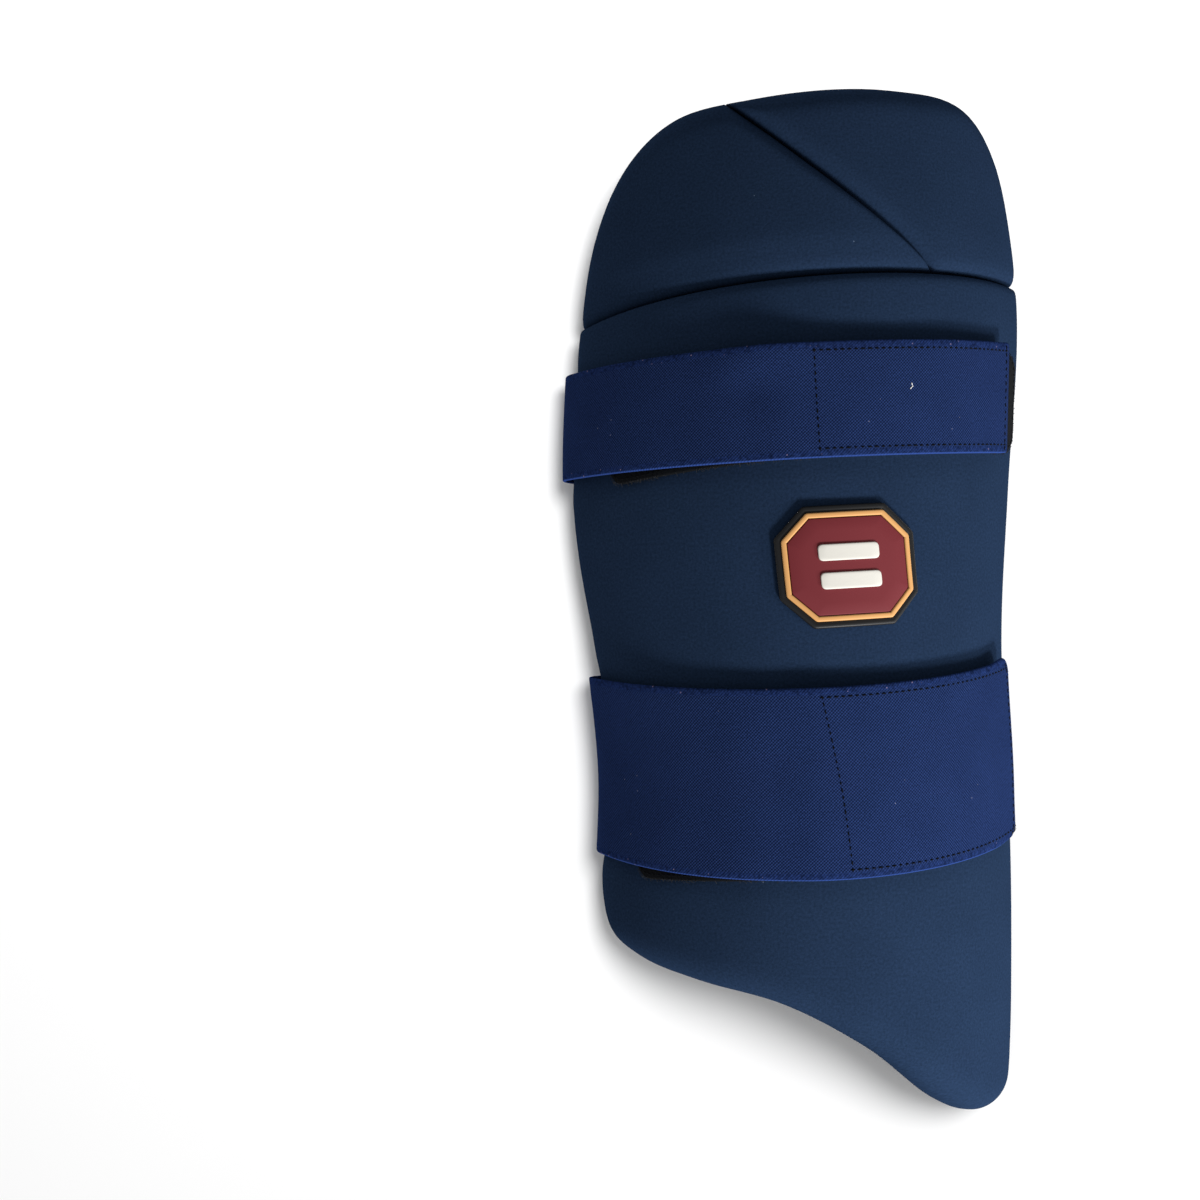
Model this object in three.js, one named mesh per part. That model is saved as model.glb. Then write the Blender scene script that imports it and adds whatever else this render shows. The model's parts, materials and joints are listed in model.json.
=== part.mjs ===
// Cricket thigh guard: a padded shell in three blocks, two wrap-round elastic straps with their
// hook and loop patches, and a moulded rubber badge. It lies front face up, on its straps.
//
// X runs across the thigh, Y from the knee end to the hip end, Z up from the surface it lies on.
// The pads are laid out flat and then wrapped round the thigh: "across" is the distance from the
// crest line, measured round the outer face, "along" is Y, and "height" is measured outwards
// from the hollow face. All lengths are millimetres and all angles are radians.

import * as THREE from 'three';

// Driving dimensions

const GUARD_LENGTH = 472;        // tip of the tail to the hip end
const HALF_GIRTH = 137;          // crest line to the widest side edge, round the outer face
const THIGH_RADIUS = 95;         // hollow face at the hip seam
const PAD_THICKNESS = 26;
const FIT_GAP = 0.3;             // clearance between pieces that touch
const SEAT_GAP = 0.6;            // clearance of what lies on the pad's faceted outer face

const RIM_WALL = 3;              // what is left of the thickness at the very edge
const RIM_HEIGHT = 9.5;          // middle of that wall, above the hollow face
const RIM_ROUND_TOP = 15;        // width of the rounding on the outer face
const RIM_ROUND_HOLLOW = 9;      // width of the rounding on the hollow face

const SEAM_DEPTH = 8;            // how far the outer face dips into a seam
const SEAM_ROUND = 9;            // width of that dip on each side
const SEAM_LIFT = 2;             // how far the hollow face rises into a seam
const HIP_SEAM_ALONG = 140.5;    // where the hip seam crosses the crest line
const HIP_SEAM_SLOPE = 0.077;
const HIP_SEAM_BOW = -3.5;       // how far its ends bend to the knee, at the half girth
const DIAGONAL_FOOT = 58;        // across, where the diagonal seam meets the hip seam
const DIAGONAL_SLOPE = -0.79;

const UPPER_STRAP_WIDTH = 49.5;
const LOWER_STRAP_WIDTH = 81.5;
const STRAP_THICKNESS = 1.8;
const LOOP_THICKNESS = 1.8;
const HOOK_THICKNESS = 1.2;
const HOOK_INSET = 2.5;          // bare strap round its hook patch
const LOOP_CORNER = 10;          // radius of a loop patch's corners
const HOOK_CORNER = 1;
const STRAP_RAMP = 9;            // length over which a strap climbs onto its hook patch
const RAMP_CLEARANCE = 2;        // from the top of that climb to the hook patch
const BEND_INSET = 15;           // where a strap leaves the outer face, in from the side edge
const STRAP_TUCK = 12;           // how far a strap's sewn end reaches in under the far edge

const BADGE_ACROSS = 15.4;
const BADGE_ALONG = 14.6;
const BADGE_WIDTH = 61.5;
const BADGE_HEIGHT = 52;
const BADGE_CORNER = 13;         // length cut off each corner
const BADGE_TURN = 0.06;
const BADGE_BASE_THICKNESS = 1.6;
const BADGE_RIM = 3;             // bare rubber outside the raised line
const BADGE_LINE_WIDTH = 2.2;
const BADGE_LINE_THICKNESS = 0.9;
const BADGE_FIELD_THICKNESS = 0.6;
const BADGE_BAR_LENGTH = 26;
const BADGE_BAR_WIDTH = 7;
const BADGE_BAR_SPACING = 12;
const BADGE_BAR_THICKNESS = 0.6;

const BORDER_STEP = 14;          // longest edge of a facet along a border
const FACET_STEP = 32;           // longest edge of a facet across a pad
const PLATE_STEP = 9;            // longest edge of a facet on the badge
const STRAP_STEP = 9;            // longest edge of a facet along a strap or patch
const STRAP_COLUMN = 28;         // longest edge of a facet across a strap or patch
const SHORT_EDGE = 0.12;         // share of a step below which two points are one
const RIM_RINGS = [0, 0.13, 0.45, 1];  // rings of facets, as shares of the rim's rounding
const FARTHEST_RING = 0.5;       // a rim ring's limit, as a share of the way to the middle
const BEND_SIDES = 8;            // facets round a strap's bend
const BACK_SIDES = 4;            // facets along a strap's back run
const CORNER_SIDES = 3;          // facets round a patch's corner
const FRAME_SIDES = 3;           // facets along each side of the badge's raised line

const HALF_LENGTH = GUARD_LENGTH / 2;

// Cross-sections of the thigh form. along is a share of the half length; radius, aside and
// drop are shares of the thigh radius: the hollow's radius, and how far its crest line lies
// to the right of, and below, the middle one.
const SECTIONS = [
  { along: -1.00, radius: 0.83, aside: 0.050, drop: 0.025 },
  { along: -0.57, radius: 0.84, aside: 0.035, drop: 0.00 },
  { along: -0.34, radius: 0.815, aside: 0.035, drop: 0.00 },
  { along: -0.08, radius: 0.85, aside: -0.015, drop: 0.00 },
  { along: 0.22, radius: 0.95, aside: -0.042, drop: 0.00 },
  { along: 0.60, radius: 1.00, aside: 0.005, drop: 0.05 },
  { along: 1.00, radius: 0.97, aside: 0.000, drop: 0.217 },
];

// Outline of the whole guard, laid out flat. across is a share of the half girth, along a
// share of the half length. It starts at the hip seam's left end and runs to the tail first.
const OUTLINE = [
  { across: -0.97, along: 0.56 },
  { across: -1.00, along: 0.30 },
  { across: -0.985, along: 0.06 },
  { across: -0.93, along: -0.14 },
  { across: -0.93, along: -0.38 },
  { across: -0.96, along: -0.58 },
  { across: -0.885, along: -0.67 },
  { across: -0.72, along: -0.70 },
  { across: -0.45, along: -0.72 },
  { across: -0.15, along: -0.747 },
  { across: 0.16, along: -0.83 },
  { across: 0.48, along: -0.95 },
  { across: 0.73, along: -1.00 },
  { across: 0.885, along: -0.985 },
  { across: 0.96, along: -0.88 },
  { across: 0.99, along: -0.66 },
  { across: 0.98, along: -0.35 },
  { across: 0.975, along: -0.08 },
  { across: 1.00, along: 0.22 },
  { across: 0.985, along: 0.50 },
  { across: 0.925, along: 0.70 },
  { across: 0.825, along: 0.875 },
  { across: 0.64, along: 0.97 },
  { across: 0.30, along: 0.977 },
  { across: -0.20, along: 0.954 },
  { across: -0.51, along: 0.93 },
  { across: -0.73, along: 0.85 },
  { across: -0.89, along: 0.72 },
];

// The two straps and their patches. width is in mm. along is a share of the half length, and
// bow, front_end, loop_from, loop_to, loop_bow and hook_from are shares of the half girth.
// along and slope give a strap's middle line, bow how far that line is bent at the half girth,
// front_end where the free end lies and end_skew its slant. loop_* describe the patch on the
// pad in the same way, with its width as a share of the strap's. hook_from is where the patch
// under the strap's free end starts.
const STRAPS = [
  {
    name: 'upper', width: UPPER_STRAP_WIDTH, along: 0.358, slope: 0.052, bow: 0.0204,
    front_end: 0.734, end_skew: 0.09, hook_from: -0.0365, loop_from: -0.69, loop_to: 0.845,
    loop_along: 0.355, loop_slope: 0.088, loop_bow: -0.033, loop_width: 0.93, loop_skew: 0.12,
  },
  {
    name: 'lower', width: LOWER_STRAP_WIDTH, along: -0.329, slope: 0.049, bow: 0.0674,
    front_end: 0.785, end_skew: -0.02, hook_from: 0.022, loop_from: -0.66, loop_to: 0.94,
    loop_along: -0.333, loop_slope: 0.080, loop_bow: 0, loop_width: 0.93, loop_skew: 0.03,
  },
];

const FABRIC = { color: 0x1c2a3f, roughness: 0.9, metalness: 0 };
const WEBBING = { color: 0x1a2a52, roughness: 0.85, metalness: 0 };
const LOOP_PILE = { color: 0x16181c, roughness: 0.95, metalness: 0 };
const BLACK_RUBBER = { color: 0x1b1b1d, roughness: 0.6, metalness: 0 };
const GOLD_RUBBER = { color: 0xe0a860, roughness: 0.5, metalness: 0 };
const MAROON_RUBBER = { color: 0x86303a, roughness: 0.55, metalness: 0 };
const WHITE_RUBBER = { color: 0xf0eee8, roughness: 0.5, metalness: 0 };

// The thigh form

// A smooth curve through the rows of a table, read off at one value of its first column.
function tableAt(rows, column, at) {
  let i = 0;
  while (i < rows.length - 2 && at > rows[i + 1].along) i += 1;
  const slopeAt = (k) => {
    const before = rows[Math.max(k - 1, 0)];
    const after = rows[Math.min(k + 1, rows.length - 1)];
    return (after[column] - before[column]) / (after.along - before.along);
  };
  const from = rows[i];
  const to = rows[i + 1];
  const span = to.along - from.along;
  const t = THREE.MathUtils.clamp((at - from.along) / span, 0, 1);
  const bump = t * t * (3 - 2 * t);
  const leave = t * (1 - t) * (1 - t) * slopeAt(i);
  const arrive = t * t * (t - 1) * slopeAt(i + 1);
  return from[column] * (1 - bump) + to[column] * bump + (leave + arrive) * span;
}

// The form at one place along the guard: the hollow's radius, its axis and the outer radius.
function formAt(along) {
  const share = along / HALF_LENGTH;
  const radius = THIGH_RADIUS * tableAt(SECTIONS, 'radius', share);
  const drop = THIGH_RADIUS * tableAt(SECTIONS, 'drop', share);
  return {
    radius,
    outerRadius: radius + PAD_THICKNESS,
    axisX: THIGH_RADIUS * tableAt(SECTIONS, 'aside', share),
    axisZ: -drop - radius,
  };
}

// A point of the flat layout, wrapped round the thigh. Z is measured from the hollow's crest.
function wrap(across, along, height) {
  const form = formAt(along);
  const turn = across / form.outerRadius;
  const reach = form.radius + height;
  return new THREE.Vector3(
    form.axisX + reach * Math.sin(turn), along, form.axisZ + reach * Math.cos(turn));
}

// Flat borders

function outlineBorder() {
  const points = OUTLINE.map((row) =>
    new THREE.Vector3(row.across * HALF_GIRTH, row.along * HALF_LENGTH, 0));
  const curve = new THREE.CatmullRomCurve3(points, true, 'centripetal');
  const steps = Math.ceil(curve.getLength() / BORDER_STEP);
  return curve.getSpacedPoints(steps).slice(0, steps).map((p) => new THREE.Vector2(p.x, p.y));
}

// A seam: its place along the guard at each place across, and its slope's length factor.
function seamLine(across, along, slope, bow) {
  return {
    lineAt: (x) => along + slope * (x - across) + bow * (x / HALF_GIRTH) ** 2,
    stretch: Math.hypot(1, slope),
  };
}

const HIP_SEAM = seamLine(0, HIP_SEAM_ALONG, HIP_SEAM_SLOPE, HIP_SEAM_BOW);
const DIAGONAL_SEAM = seamLine(
  DIAGONAL_FOOT, HIP_SEAM.lineAt(DIAGONAL_FOOT), DIAGONAL_SLOPE, 0);

// The distance of a point from a seam, counted on the side that a pad lies on.
function offSeam(point, cut) {
  return cut.side * (point.y - cut.seam.lineAt(point.x)) / cut.seam.stretch - FIT_GAP / 2;
}

// The part of a border on one side of a seam, with points along the new edge.
function cutBorder(border, cut) {
  const crossing = (from, to) => {
    const here = offSeam(from, cut);
    return from.clone().lerp(to, here / (here - offSeam(to, cut)));
  };
  const count = border.length;
  const start = border.findIndex((point, i) =>
    offSeam(point, cut) > 0 && offSeam(border[(i + count - 1) % count], cut) <= 0);
  const turned = border.map((unused, i) => border[(start + i) % count]);
  const inside = turned.filter((point) => offSeam(point, cut) > 0);
  const first = crossing(turned[count - 1], turned[0]);
  const last = crossing(inside[inside.length - 1], turned[inside.length]);
  const kept = [first, ...inside, last];
  const pieces = Math.ceil(last.distanceTo(first) / BORDER_STEP);
  for (let k = 1; k < pieces; k += 1) {
    const x = last.x + (first.x - last.x) * (k / pieces);
    const y = cut.seam.lineAt(x) + cut.side * cut.seam.stretch * FIT_GAP / 2;
    kept.push(new THREE.Vector2(x, y));
  }
  return subdivided(kept, BORDER_STEP);
}

// A border whose long edges are divided and whose very short ones are merged.
function subdivided(border, step) {
  const clean = border.filter((point, i) => {
    const before = border[(i + border.length - 1) % border.length];
    return point.distanceTo(before) > step * SHORT_EDGE;
  });
  const points = [];
  clean.forEach((point, i) => {
    const next = clean[(i + 1) % clean.length];
    const pieces = Math.ceil(point.distanceTo(next) / step);
    for (let k = 0; k < pieces; k += 1) points.push(point.clone().lerp(next, k / pieces));
  });
  return points;
}

function distanceToBorder(point, border) {
  let nearest = Infinity;
  border.forEach((from, i) => {
    const edge = border[(i + 1) % border.length].clone().sub(from);
    const offset = point.clone().sub(from);
    const share = THREE.MathUtils.clamp(offset.dot(edge) / edge.lengthSq(), 0, 1);
    nearest = Math.min(nearest, offset.sub(edge.multiplyScalar(share)).length());
  });
  return nearest;
}

function middleOf(border) {
  const box = new THREE.Box2().setFromPoints(border);
  return box.getCenter(new THREE.Vector2());
}

// Solids made of rings of points

function geometryFrom(points, triangles) {
  const geometry = new THREE.BufferGeometry();
  geometry.setAttribute('position',
    new THREE.Float32BufferAttribute(points.flatMap((p) => [p.x, p.y, p.z]), 3));
  geometry.setIndex(triangles);
  geometry.computeVertexNormals();
  return geometry;
}

// The triangles between two closed rings of the same length, facing out for a ring that runs
// anticlockwise seen from above with the second ring inside or above the first.
function joinRings(first, second, count) {
  const triangles = [];
  for (let i = 0; i < count; i += 1) {
    const next = (i + 1) % count;
    triangles.push(first + i, first + next, second + next);
    triangles.push(first + i, second + next, second + i);
  }
  return triangles;
}

function closeRing(ring, centre, count) {
  const triangles = [];
  for (let i = 0; i < count; i += 1) triangles.push(ring + i, ring + (i + 1) % count, centre);
  return triangles;
}

function reversed(triangles) {
  const turned = [];
  for (let i = 0; i < triangles.length; i += 3) {
    turned.push(triangles[i], triangles[i + 2], triangles[i + 1]);
  }
  return turned;
}

// A plate between two faces over a flat border. The faces are meshed in rings that shrink
// towards the centre, at the given insets first and then in even steps.
function ringedPlate(border, centre, insets, step, topAt, bottomAt) {
  const count = border.length;
  const widest = Math.max(...border.map((p) => p.distanceTo(centre)));
  const innerSteps = Math.ceil((widest - insets[insets.length - 1]) / step);
  const shares = insets.map((inset) => (reach) => Math.min(inset / reach, FARTHEST_RING));
  for (let k = 1; k < innerSteps; k += 1) {
    const last = insets[insets.length - 1];
    shares.push((reach) => {
      const start = Math.min(last / reach, FARTHEST_RING);
      return start + (1 - start) * (k / innerSteps);
    });
  }
  const rings = shares.map((share) => border.map((p) =>
    p.clone().lerp(centre, share(p.distanceTo(centre)))));
  const flat = [...rings.flat(), centre];
  const points = [
    ...flat.map((p) => wrap(p.x, p.y, topAt(p))),
    ...flat.map((p) => wrap(p.x, p.y, bottomAt(p))),
  ];
  const bottom = flat.length;
  const top = [];
  for (let r = 0; r < rings.length - 1; r += 1) {
    top.push(...joinRings(r * count, (r + 1) * count, count));
  }
  top.push(...closeRing((rings.length - 1) * count, flat.length - 1, count));
  const triangles = [
    ...top,
    ...reversed(top.map((index) => index + bottom)),
    ...joinRings(bottom, 0, count),
  ];
  return geometryFrom(points, triangles);
}

// A thin band: faces given by a function of a station, a place across its width and a side.
function bandSolid(stations, widths, pointAt) {
  const columns = widths.length;
  const rows = stations.length;
  const points = [];
  [1, 0].forEach((side) => stations.forEach((s) => widths.forEach((w) => {
    points.push(pointAt(s, w, side));
  })));
  const bottom = rows * columns;
  const triangles = [];
  const quad = (a, b, c, d) => triangles.push(a, b, c, a, c, d);
  for (let r = 0; r < rows - 1; r += 1) {
    for (let c = 0; c < columns - 1; c += 1) {
      const i = r * columns + c;
      quad(i, i + columns, i + columns + 1, i + 1);
      quad(bottom + i, bottom + i + 1, bottom + i + columns + 1, bottom + i + columns);
    }
    const left = r * columns;
    const right = left + columns - 1;
    quad(left, bottom + left, bottom + left + columns, left + columns);
    quad(right, right + columns, bottom + right + columns, bottom + right);
  }
  for (let c = 0; c < columns - 1; c += 1) {
    const end = (rows - 1) * columns + c;
    quad(c, c + 1, bottom + c + 1, bottom + c);
    quad(end, bottom + end, bottom + end + 1, end + 1);
  }
  return geometryFrom(points, triangles);
}

function evenSteps(from, to, longest) {
  const count = Math.max(1, Math.ceil(Math.abs(to - from) / longest));
  return Array.from({ length: count + 1 }, (unused, i) => from + (to - from) * (i / count));
}

// Pads

// How far a rounded edge has fallen, from 1 at the edge to 0 at the rounding's width.
function rounding(distance, width) {
  const share = THREE.MathUtils.clamp(distance / width, 0, 1);
  return 1 - Math.sqrt(1 - (1 - share) * (1 - share));
}

const GUARD_BORDER = outlineBorder();
const RIM_INSETS = RIM_RINGS.map((share) => share * RIM_ROUND_TOP);

// How far the outer face has fallen towards the rim at a point of the flat layout.
function rimFall(point) {
  const depth = PAD_THICKNESS - RIM_HEIGHT - RIM_WALL / 2;
  return depth * rounding(distanceToBorder(point, GUARD_BORDER), RIM_ROUND_TOP);
}

function padSolid(cuts) {
  const border = cuts.reduce(cutBorder, GUARD_BORDER);
  const centre = middleOf(border);
  const rimBottom = RIM_HEIGHT - RIM_WALL / 2;
  const topAt = (point) => {
    const rim = rimFall(point);
    const dips = cuts.map((cut) => SEAM_DEPTH * rounding(offSeam(point, cut), SEAM_ROUND));
    return PAD_THICKNESS - Math.max(rim, ...dips);
  };
  const bottomAt = (point) => {
    const rim = rimBottom * rounding(distanceToBorder(point, GUARD_BORDER), RIM_ROUND_HOLLOW);
    const lifts = cuts.map((cut) => SEAM_LIFT * rounding(offSeam(point, cut), SEAM_ROUND));
    return Math.max(rim, ...lifts);
  };
  return ringedPlate(border, centre, RIM_INSETS, FACET_STEP, topAt, bottomAt);
}

// Straps and their patches

const LOOP_BOTTOM = PAD_THICKNESS + SEAT_GAP;
const LOOP_TOP = LOOP_BOTTOM + LOOP_THICKNESS;
const HOOK_BOTTOM = LOOP_TOP + FIT_GAP;
const HOOK_TOP = HOOK_BOTTOM + HOOK_THICKNESS;

// A slanted, slightly bent middle line. along is a share of the half length, bow of the girth.
function bowedLine(across, along, slope, bow) {
  return along * HALF_LENGTH + slope * across + bow * across * across / HALF_GIRTH;
}

function strapLine(strap, across) {
  return bowedLine(across, strap.along, strap.slope, strap.bow);
}

// Where a strap reaches its full height, just left of its hook patch.
function rampTopAt(strap) {
  return strap.hook_from * HALF_GIRTH - RAMP_CLEARANCE;
}

// The underside of a strap on the front: it lies on the loop patch, and climbs onto the hook.
function strapUnderside(strap, across) {
  const rampTop = rampTopAt(strap);
  const climb = THREE.MathUtils.smoothstep(across, rampTop - STRAP_RAMP, rampTop);
  const onLoop = LOOP_TOP + FIT_GAP;
  const onHook = HOOK_TOP + FIT_GAP;
  return onLoop + (onHook - onLoop) * climb;
}

// The bend of a strap round the left edge at one place along the guard: its centre, radius and
// angles. bendAcross is where the strap leaves the outer face.
function edgeBend(bendAcross, along, floorZ) {
  const form = formAt(along);
  const turn = -bendAcross / form.outerRadius;
  const reach = form.radius + LOOP_TOP + FIT_GAP + STRAP_THICKNESS / 2;
  const startX = form.axisX - reach * Math.sin(turn);
  const startZ = form.axisZ + reach * Math.cos(turn);
  const lean = Math.PI / 2 - turn;
  const radius = (startZ - floorZ - STRAP_THICKNESS / 2) / (1 + Math.sin(lean));
  return {
    turn,
    radius,
    lean,
    centreX: startX + radius * Math.cos(lean),
    centreZ: startZ - radius * Math.sin(lean),
  };
}

// How far the left side edge of the guard lies from the crest line at one place along it.
function leftEdgeAt(along) {
  const crossings = [];
  GUARD_BORDER.forEach((point, i) => {
    const next = GUARD_BORDER[(i + 1) % GUARD_BORDER.length];
    if ((point.y > along) !== (next.y > along)) {
      const share = (along - point.y) / (next.y - point.y);
      crossings.push(point.x + (next.x - point.x) * share);
    }
  });
  return -Math.min(...crossings);
}

// A strap runs from its free end on the front, round the left edge and back under the guard.
function strapSolid(strap, floorZ) {
  const widths = evenSteps(strap.width / 2, -strap.width / 2, STRAP_COLUMN);
  const bendAcross = BEND_INSET - leftEdgeAt(strap.along * HALF_LENGTH);
  const frontEnd = strap.front_end * HALF_GIRTH;
  const rampTop = rampTopAt(strap);
  const front = [
    ...evenSteps(frontEnd, rampTop, STRAP_STEP),
    ...evenSteps(rampTop, rampTop - STRAP_RAMP, STRAP_RAMP / 3).slice(1),
    ...evenSteps(rampTop - STRAP_RAMP, bendAcross, STRAP_STEP).slice(1),
  ].map((across) => ({ across, bend: 0, back: 0 }));
  const bend = Array.from({ length: BEND_SIDES }, (unused, i) =>
    ({ across: bendAcross, bend: (i + 1) / BEND_SIDES, back: 0 }));
  const back = evenSteps(0, 1, 1 / BACK_SIDES).slice(1).map((share) =>
    ({ across: bendAcross, bend: 1, back: share }));
  const leaving = strapLine(strap, bendAcross);
  const leavingSlope = strap.slope + 2 * strap.bow * bendAcross / HALF_GIRTH;
  const pointAt = (station, w, side) => {
    const skew = strap.end_skew * Math.max(station.across / frontEnd, 0);
    const share = (station.across - frontEnd) / (bendAcross - frontEnd);
    const lift = side * STRAP_THICKNESS;
    if (station.bend === 0) {
      const along = strapLine(strap, station.across) + w;
      const endAcross = frontEnd - w * skew;
      const across = endAcross + (bendAcross - endAcross) * share;
      return wrap(across, along, strapUnderside(strap, across) + lift);
    }
    const along = leaving + w;
    const round = edgeBend(bendAcross, along, floorZ);
    const angle = Math.PI - round.lean + station.bend * (Math.PI / 2 + round.lean);
    const reach = round.radius - STRAP_THICKNESS / 2 + lift;
    const x = round.centreX + reach * Math.cos(angle);
    const z = round.centreZ + reach * Math.sin(angle);
    const form = formAt(along);
    const farEdge = form.axisX + form.radius * Math.sin(round.turn) + STRAP_TUCK;
    const run = station.back * (farEdge - round.centreX);
    return new THREE.Vector3(x + run, along - leavingSlope * run, z);
  };
  return bandSolid([...front, ...bend, ...back], widths, pointAt);
}

// A patch with rounded corners, laid on the outer face and its rounded rim. skew is the slant
// of its far end, and the heights are those that it has away from the rim.
function patchSolid(from, to, lineAt, width, corner, skew, bottomHeight, topHeight) {
  const cornerInsets = Array.from({ length: CORNER_SIDES + 1 }, (unused, k) =>
    corner * (1 - Math.cos((k / CORNER_SIDES) * Math.PI / 2)));
  const stations = [
    ...cornerInsets.map((inset) => from + inset),
    ...evenSteps(from + corner, to - corner, STRAP_STEP).slice(1, -1),
    ...cornerInsets.map((inset) => to - inset).reverse(),
  ];
  const halfWidthAt = (s) => {
    const inset = Math.max(from + corner - s, s - (to - corner), 0);
    return width / 2 - corner + Math.sqrt(Math.max(corner * corner - inset * inset, 0));
  };
  const shares = evenSteps(-1, 1, 2 * STRAP_COLUMN / width);
  return bandSolid(stations, shares, (s, share, side) => {
    const w = share * halfWidthAt(s);
    const along = lineAt(s) + w;
    const across = s - w * skew * Math.max(s / to, 0);
    const height = side ? topHeight : bottomHeight;
    return wrap(across, along, height - rimFall(new THREE.Vector2(across, along)));
  });
}

function loopPatch(strap) {
  const lineAt = (s) => bowedLine(s, strap.loop_along, strap.loop_slope, strap.loop_bow);
  return patchSolid(
    strap.loop_from * HALF_GIRTH, strap.loop_to * HALF_GIRTH, lineAt,
    strap.loop_width * strap.width, LOOP_CORNER, strap.loop_skew, LOOP_BOTTOM, LOOP_TOP);
}

function hookPatch(strap) {
  const reach = strap.front_end * HALF_GIRTH - HOOK_INSET;
  return patchSolid(
    strap.hook_from * HALF_GIRTH, reach, (s) => strapLine(strap, s),
    strap.width - 2 * HOOK_INSET, HOOK_CORNER, strap.end_skew, HOOK_BOTTOM, HOOK_TOP);
}

// Badge

function badgePoint(x, y) {
  return new THREE.Vector2(x, y).rotateAround(new THREE.Vector2(0, 0), BADGE_TURN)
    .add(new THREE.Vector2(BADGE_ACROSS, BADGE_ALONG));
}

// An eight-sided border, a given distance inside the badge's edge.
function badgeBorder(inset) {
  const halfWidth = BADGE_WIDTH / 2 - inset;
  const halfHeight = BADGE_HEIGHT / 2 - inset;
  const cut = BADGE_CORNER - inset * (2 - Math.SQRT2);
  const corners = [
    [-halfWidth, -halfHeight + cut], [-halfWidth + cut, -halfHeight],
    [halfWidth - cut, -halfHeight], [halfWidth, -halfHeight + cut],
    [halfWidth, halfHeight - cut], [halfWidth - cut, halfHeight],
    [-halfWidth + cut, halfHeight], [-halfWidth, halfHeight - cut],
  ];
  return corners.map(([x, y]) => badgePoint(x, y));
}

function flatPlate(border, bottomHeight, topHeight) {
  const fine = subdivided(border, PLATE_STEP);
  return ringedPlate(fine, middleOf(fine), [0], PLATE_STEP, () => topHeight, () => bottomHeight);
}

// A frame between two borders of the same number of corners.
function frameSolid(outer, inner, bottomHeight, topHeight) {
  const sides = Array.from({ length: FRAME_SIDES }, (unused, k) => k / FRAME_SIDES);
  const dense = (border) => border.flatMap((p, i) =>
    sides.map((share) => p.clone().lerp(border[(i + 1) % border.length], share)));
  const rings = [
    [dense(outer), bottomHeight], [dense(outer), topHeight],
    [dense(inner), topHeight], [dense(inner), bottomHeight],
  ];
  const count = rings[0][0].length;
  const points = rings.flatMap(([border, height]) => border.map((p) => wrap(p.x, p.y, height)));
  const triangles = rings.flatMap((unused, r) =>
    joinRings(r * count, ((r + 1) % rings.length) * count, count));
  return geometryFrom(points, triangles);
}

const BADGE_BOTTOM = PAD_THICKNESS + SEAT_GAP;
const BADGE_TOP = BADGE_BOTTOM + BADGE_BASE_THICKNESS;
const FIELD_BOTTOM = BADGE_TOP + FIT_GAP;
const FIELD_TOP = FIELD_BOTTOM + BADGE_FIELD_THICKNESS;
const BAR_BOTTOM = FIELD_TOP + FIT_GAP;

function badgeBar(offset) {
  const halfLength = BADGE_BAR_LENGTH / 2;
  const halfWidth = BADGE_BAR_WIDTH / 2;
  const border = [
    badgePoint(-halfLength, offset - halfWidth), badgePoint(halfLength, offset - halfWidth),
    badgePoint(halfLength, offset + halfWidth), badgePoint(-halfLength, offset + halfWidth),
  ];
  return flatPlate(border, BAR_BOTTOM, BAR_BOTTOM + BADGE_BAR_THICKNESS);
}

// Assembly

function addPiece(group, name, geometry, finish) {
  const mesh = new THREE.Mesh(geometry, new THREE.MeshStandardMaterial(finish));
  mesh.name = name;
  group.add(mesh);
}

function thighGuard() {
  const guard = new THREE.Group();
  const mainPad = padSolid([{ seam: HIP_SEAM, side: -1 }]);
  mainPad.computeBoundingBox();
  const floorZ = mainPad.boundingBox.min.z - STRAP_THICKNESS - FIT_GAP;

  addPiece(guard, 'main_pad', mainPad, FABRIC);
  addPiece(guard, 'hip_pad_left',
    padSolid([{ seam: HIP_SEAM, side: 1 }, { seam: DIAGONAL_SEAM, side: -1 }]), FABRIC);
  addPiece(guard, 'hip_pad_right',
    padSolid([{ seam: HIP_SEAM, side: 1 }, { seam: DIAGONAL_SEAM, side: 1 }]), FABRIC);

  STRAPS.forEach((strap) => {
    addPiece(guard, `${strap.name}_loop_patch`, loopPatch(strap), LOOP_PILE);
    addPiece(guard, `${strap.name}_hook_patch`, hookPatch(strap), LOOP_PILE);
    addPiece(guard, `${strap.name}_strap`, strapSolid(strap, floorZ), WEBBING);
  });

  addPiece(guard, 'badge_base', flatPlate(badgeBorder(0), BADGE_BOTTOM, BADGE_TOP), BLACK_RUBBER);
  addPiece(guard, 'badge_line', frameSolid(
    badgeBorder(BADGE_RIM), badgeBorder(BADGE_RIM + BADGE_LINE_WIDTH),
    FIELD_BOTTOM, FIELD_BOTTOM + BADGE_LINE_THICKNESS), GOLD_RUBBER);
  addPiece(guard, 'badge_field', flatPlate(
    badgeBorder(BADGE_RIM + BADGE_LINE_WIDTH + FIT_GAP), FIELD_BOTTOM, FIELD_TOP), MAROON_RUBBER);
  addPiece(guard, 'badge_bar_upper', badgeBar(BADGE_BAR_SPACING / 2), WHITE_RUBBER);
  addPiece(guard, 'badge_bar_lower', badgeBar(-BADGE_BAR_SPACING / 2), WHITE_RUBBER);

  // The origin is the middle of the underside of the whole guard.
  const box = new THREE.Box3().setFromObject(guard);
  const middle = box.getCenter(new THREE.Vector3());
  guard.position.set(-middle.x, -middle.y, -box.min.z);
  return guard;
}

export default thighGuard();
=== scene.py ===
"""Looks of the cricket thigh guard: foam pads in navy jersey, elastic straps, pile patches, badge.

The pads, straps and patches are laid out flat and wrapped round the thigh form, as the solids
are: "across" is the distance from the crest line round the outer face, "along" is Y, "height"
is measured outwards from the hollow face. Sizes are in millimetres until a mesh is made.
"""

import json
import math

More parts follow.
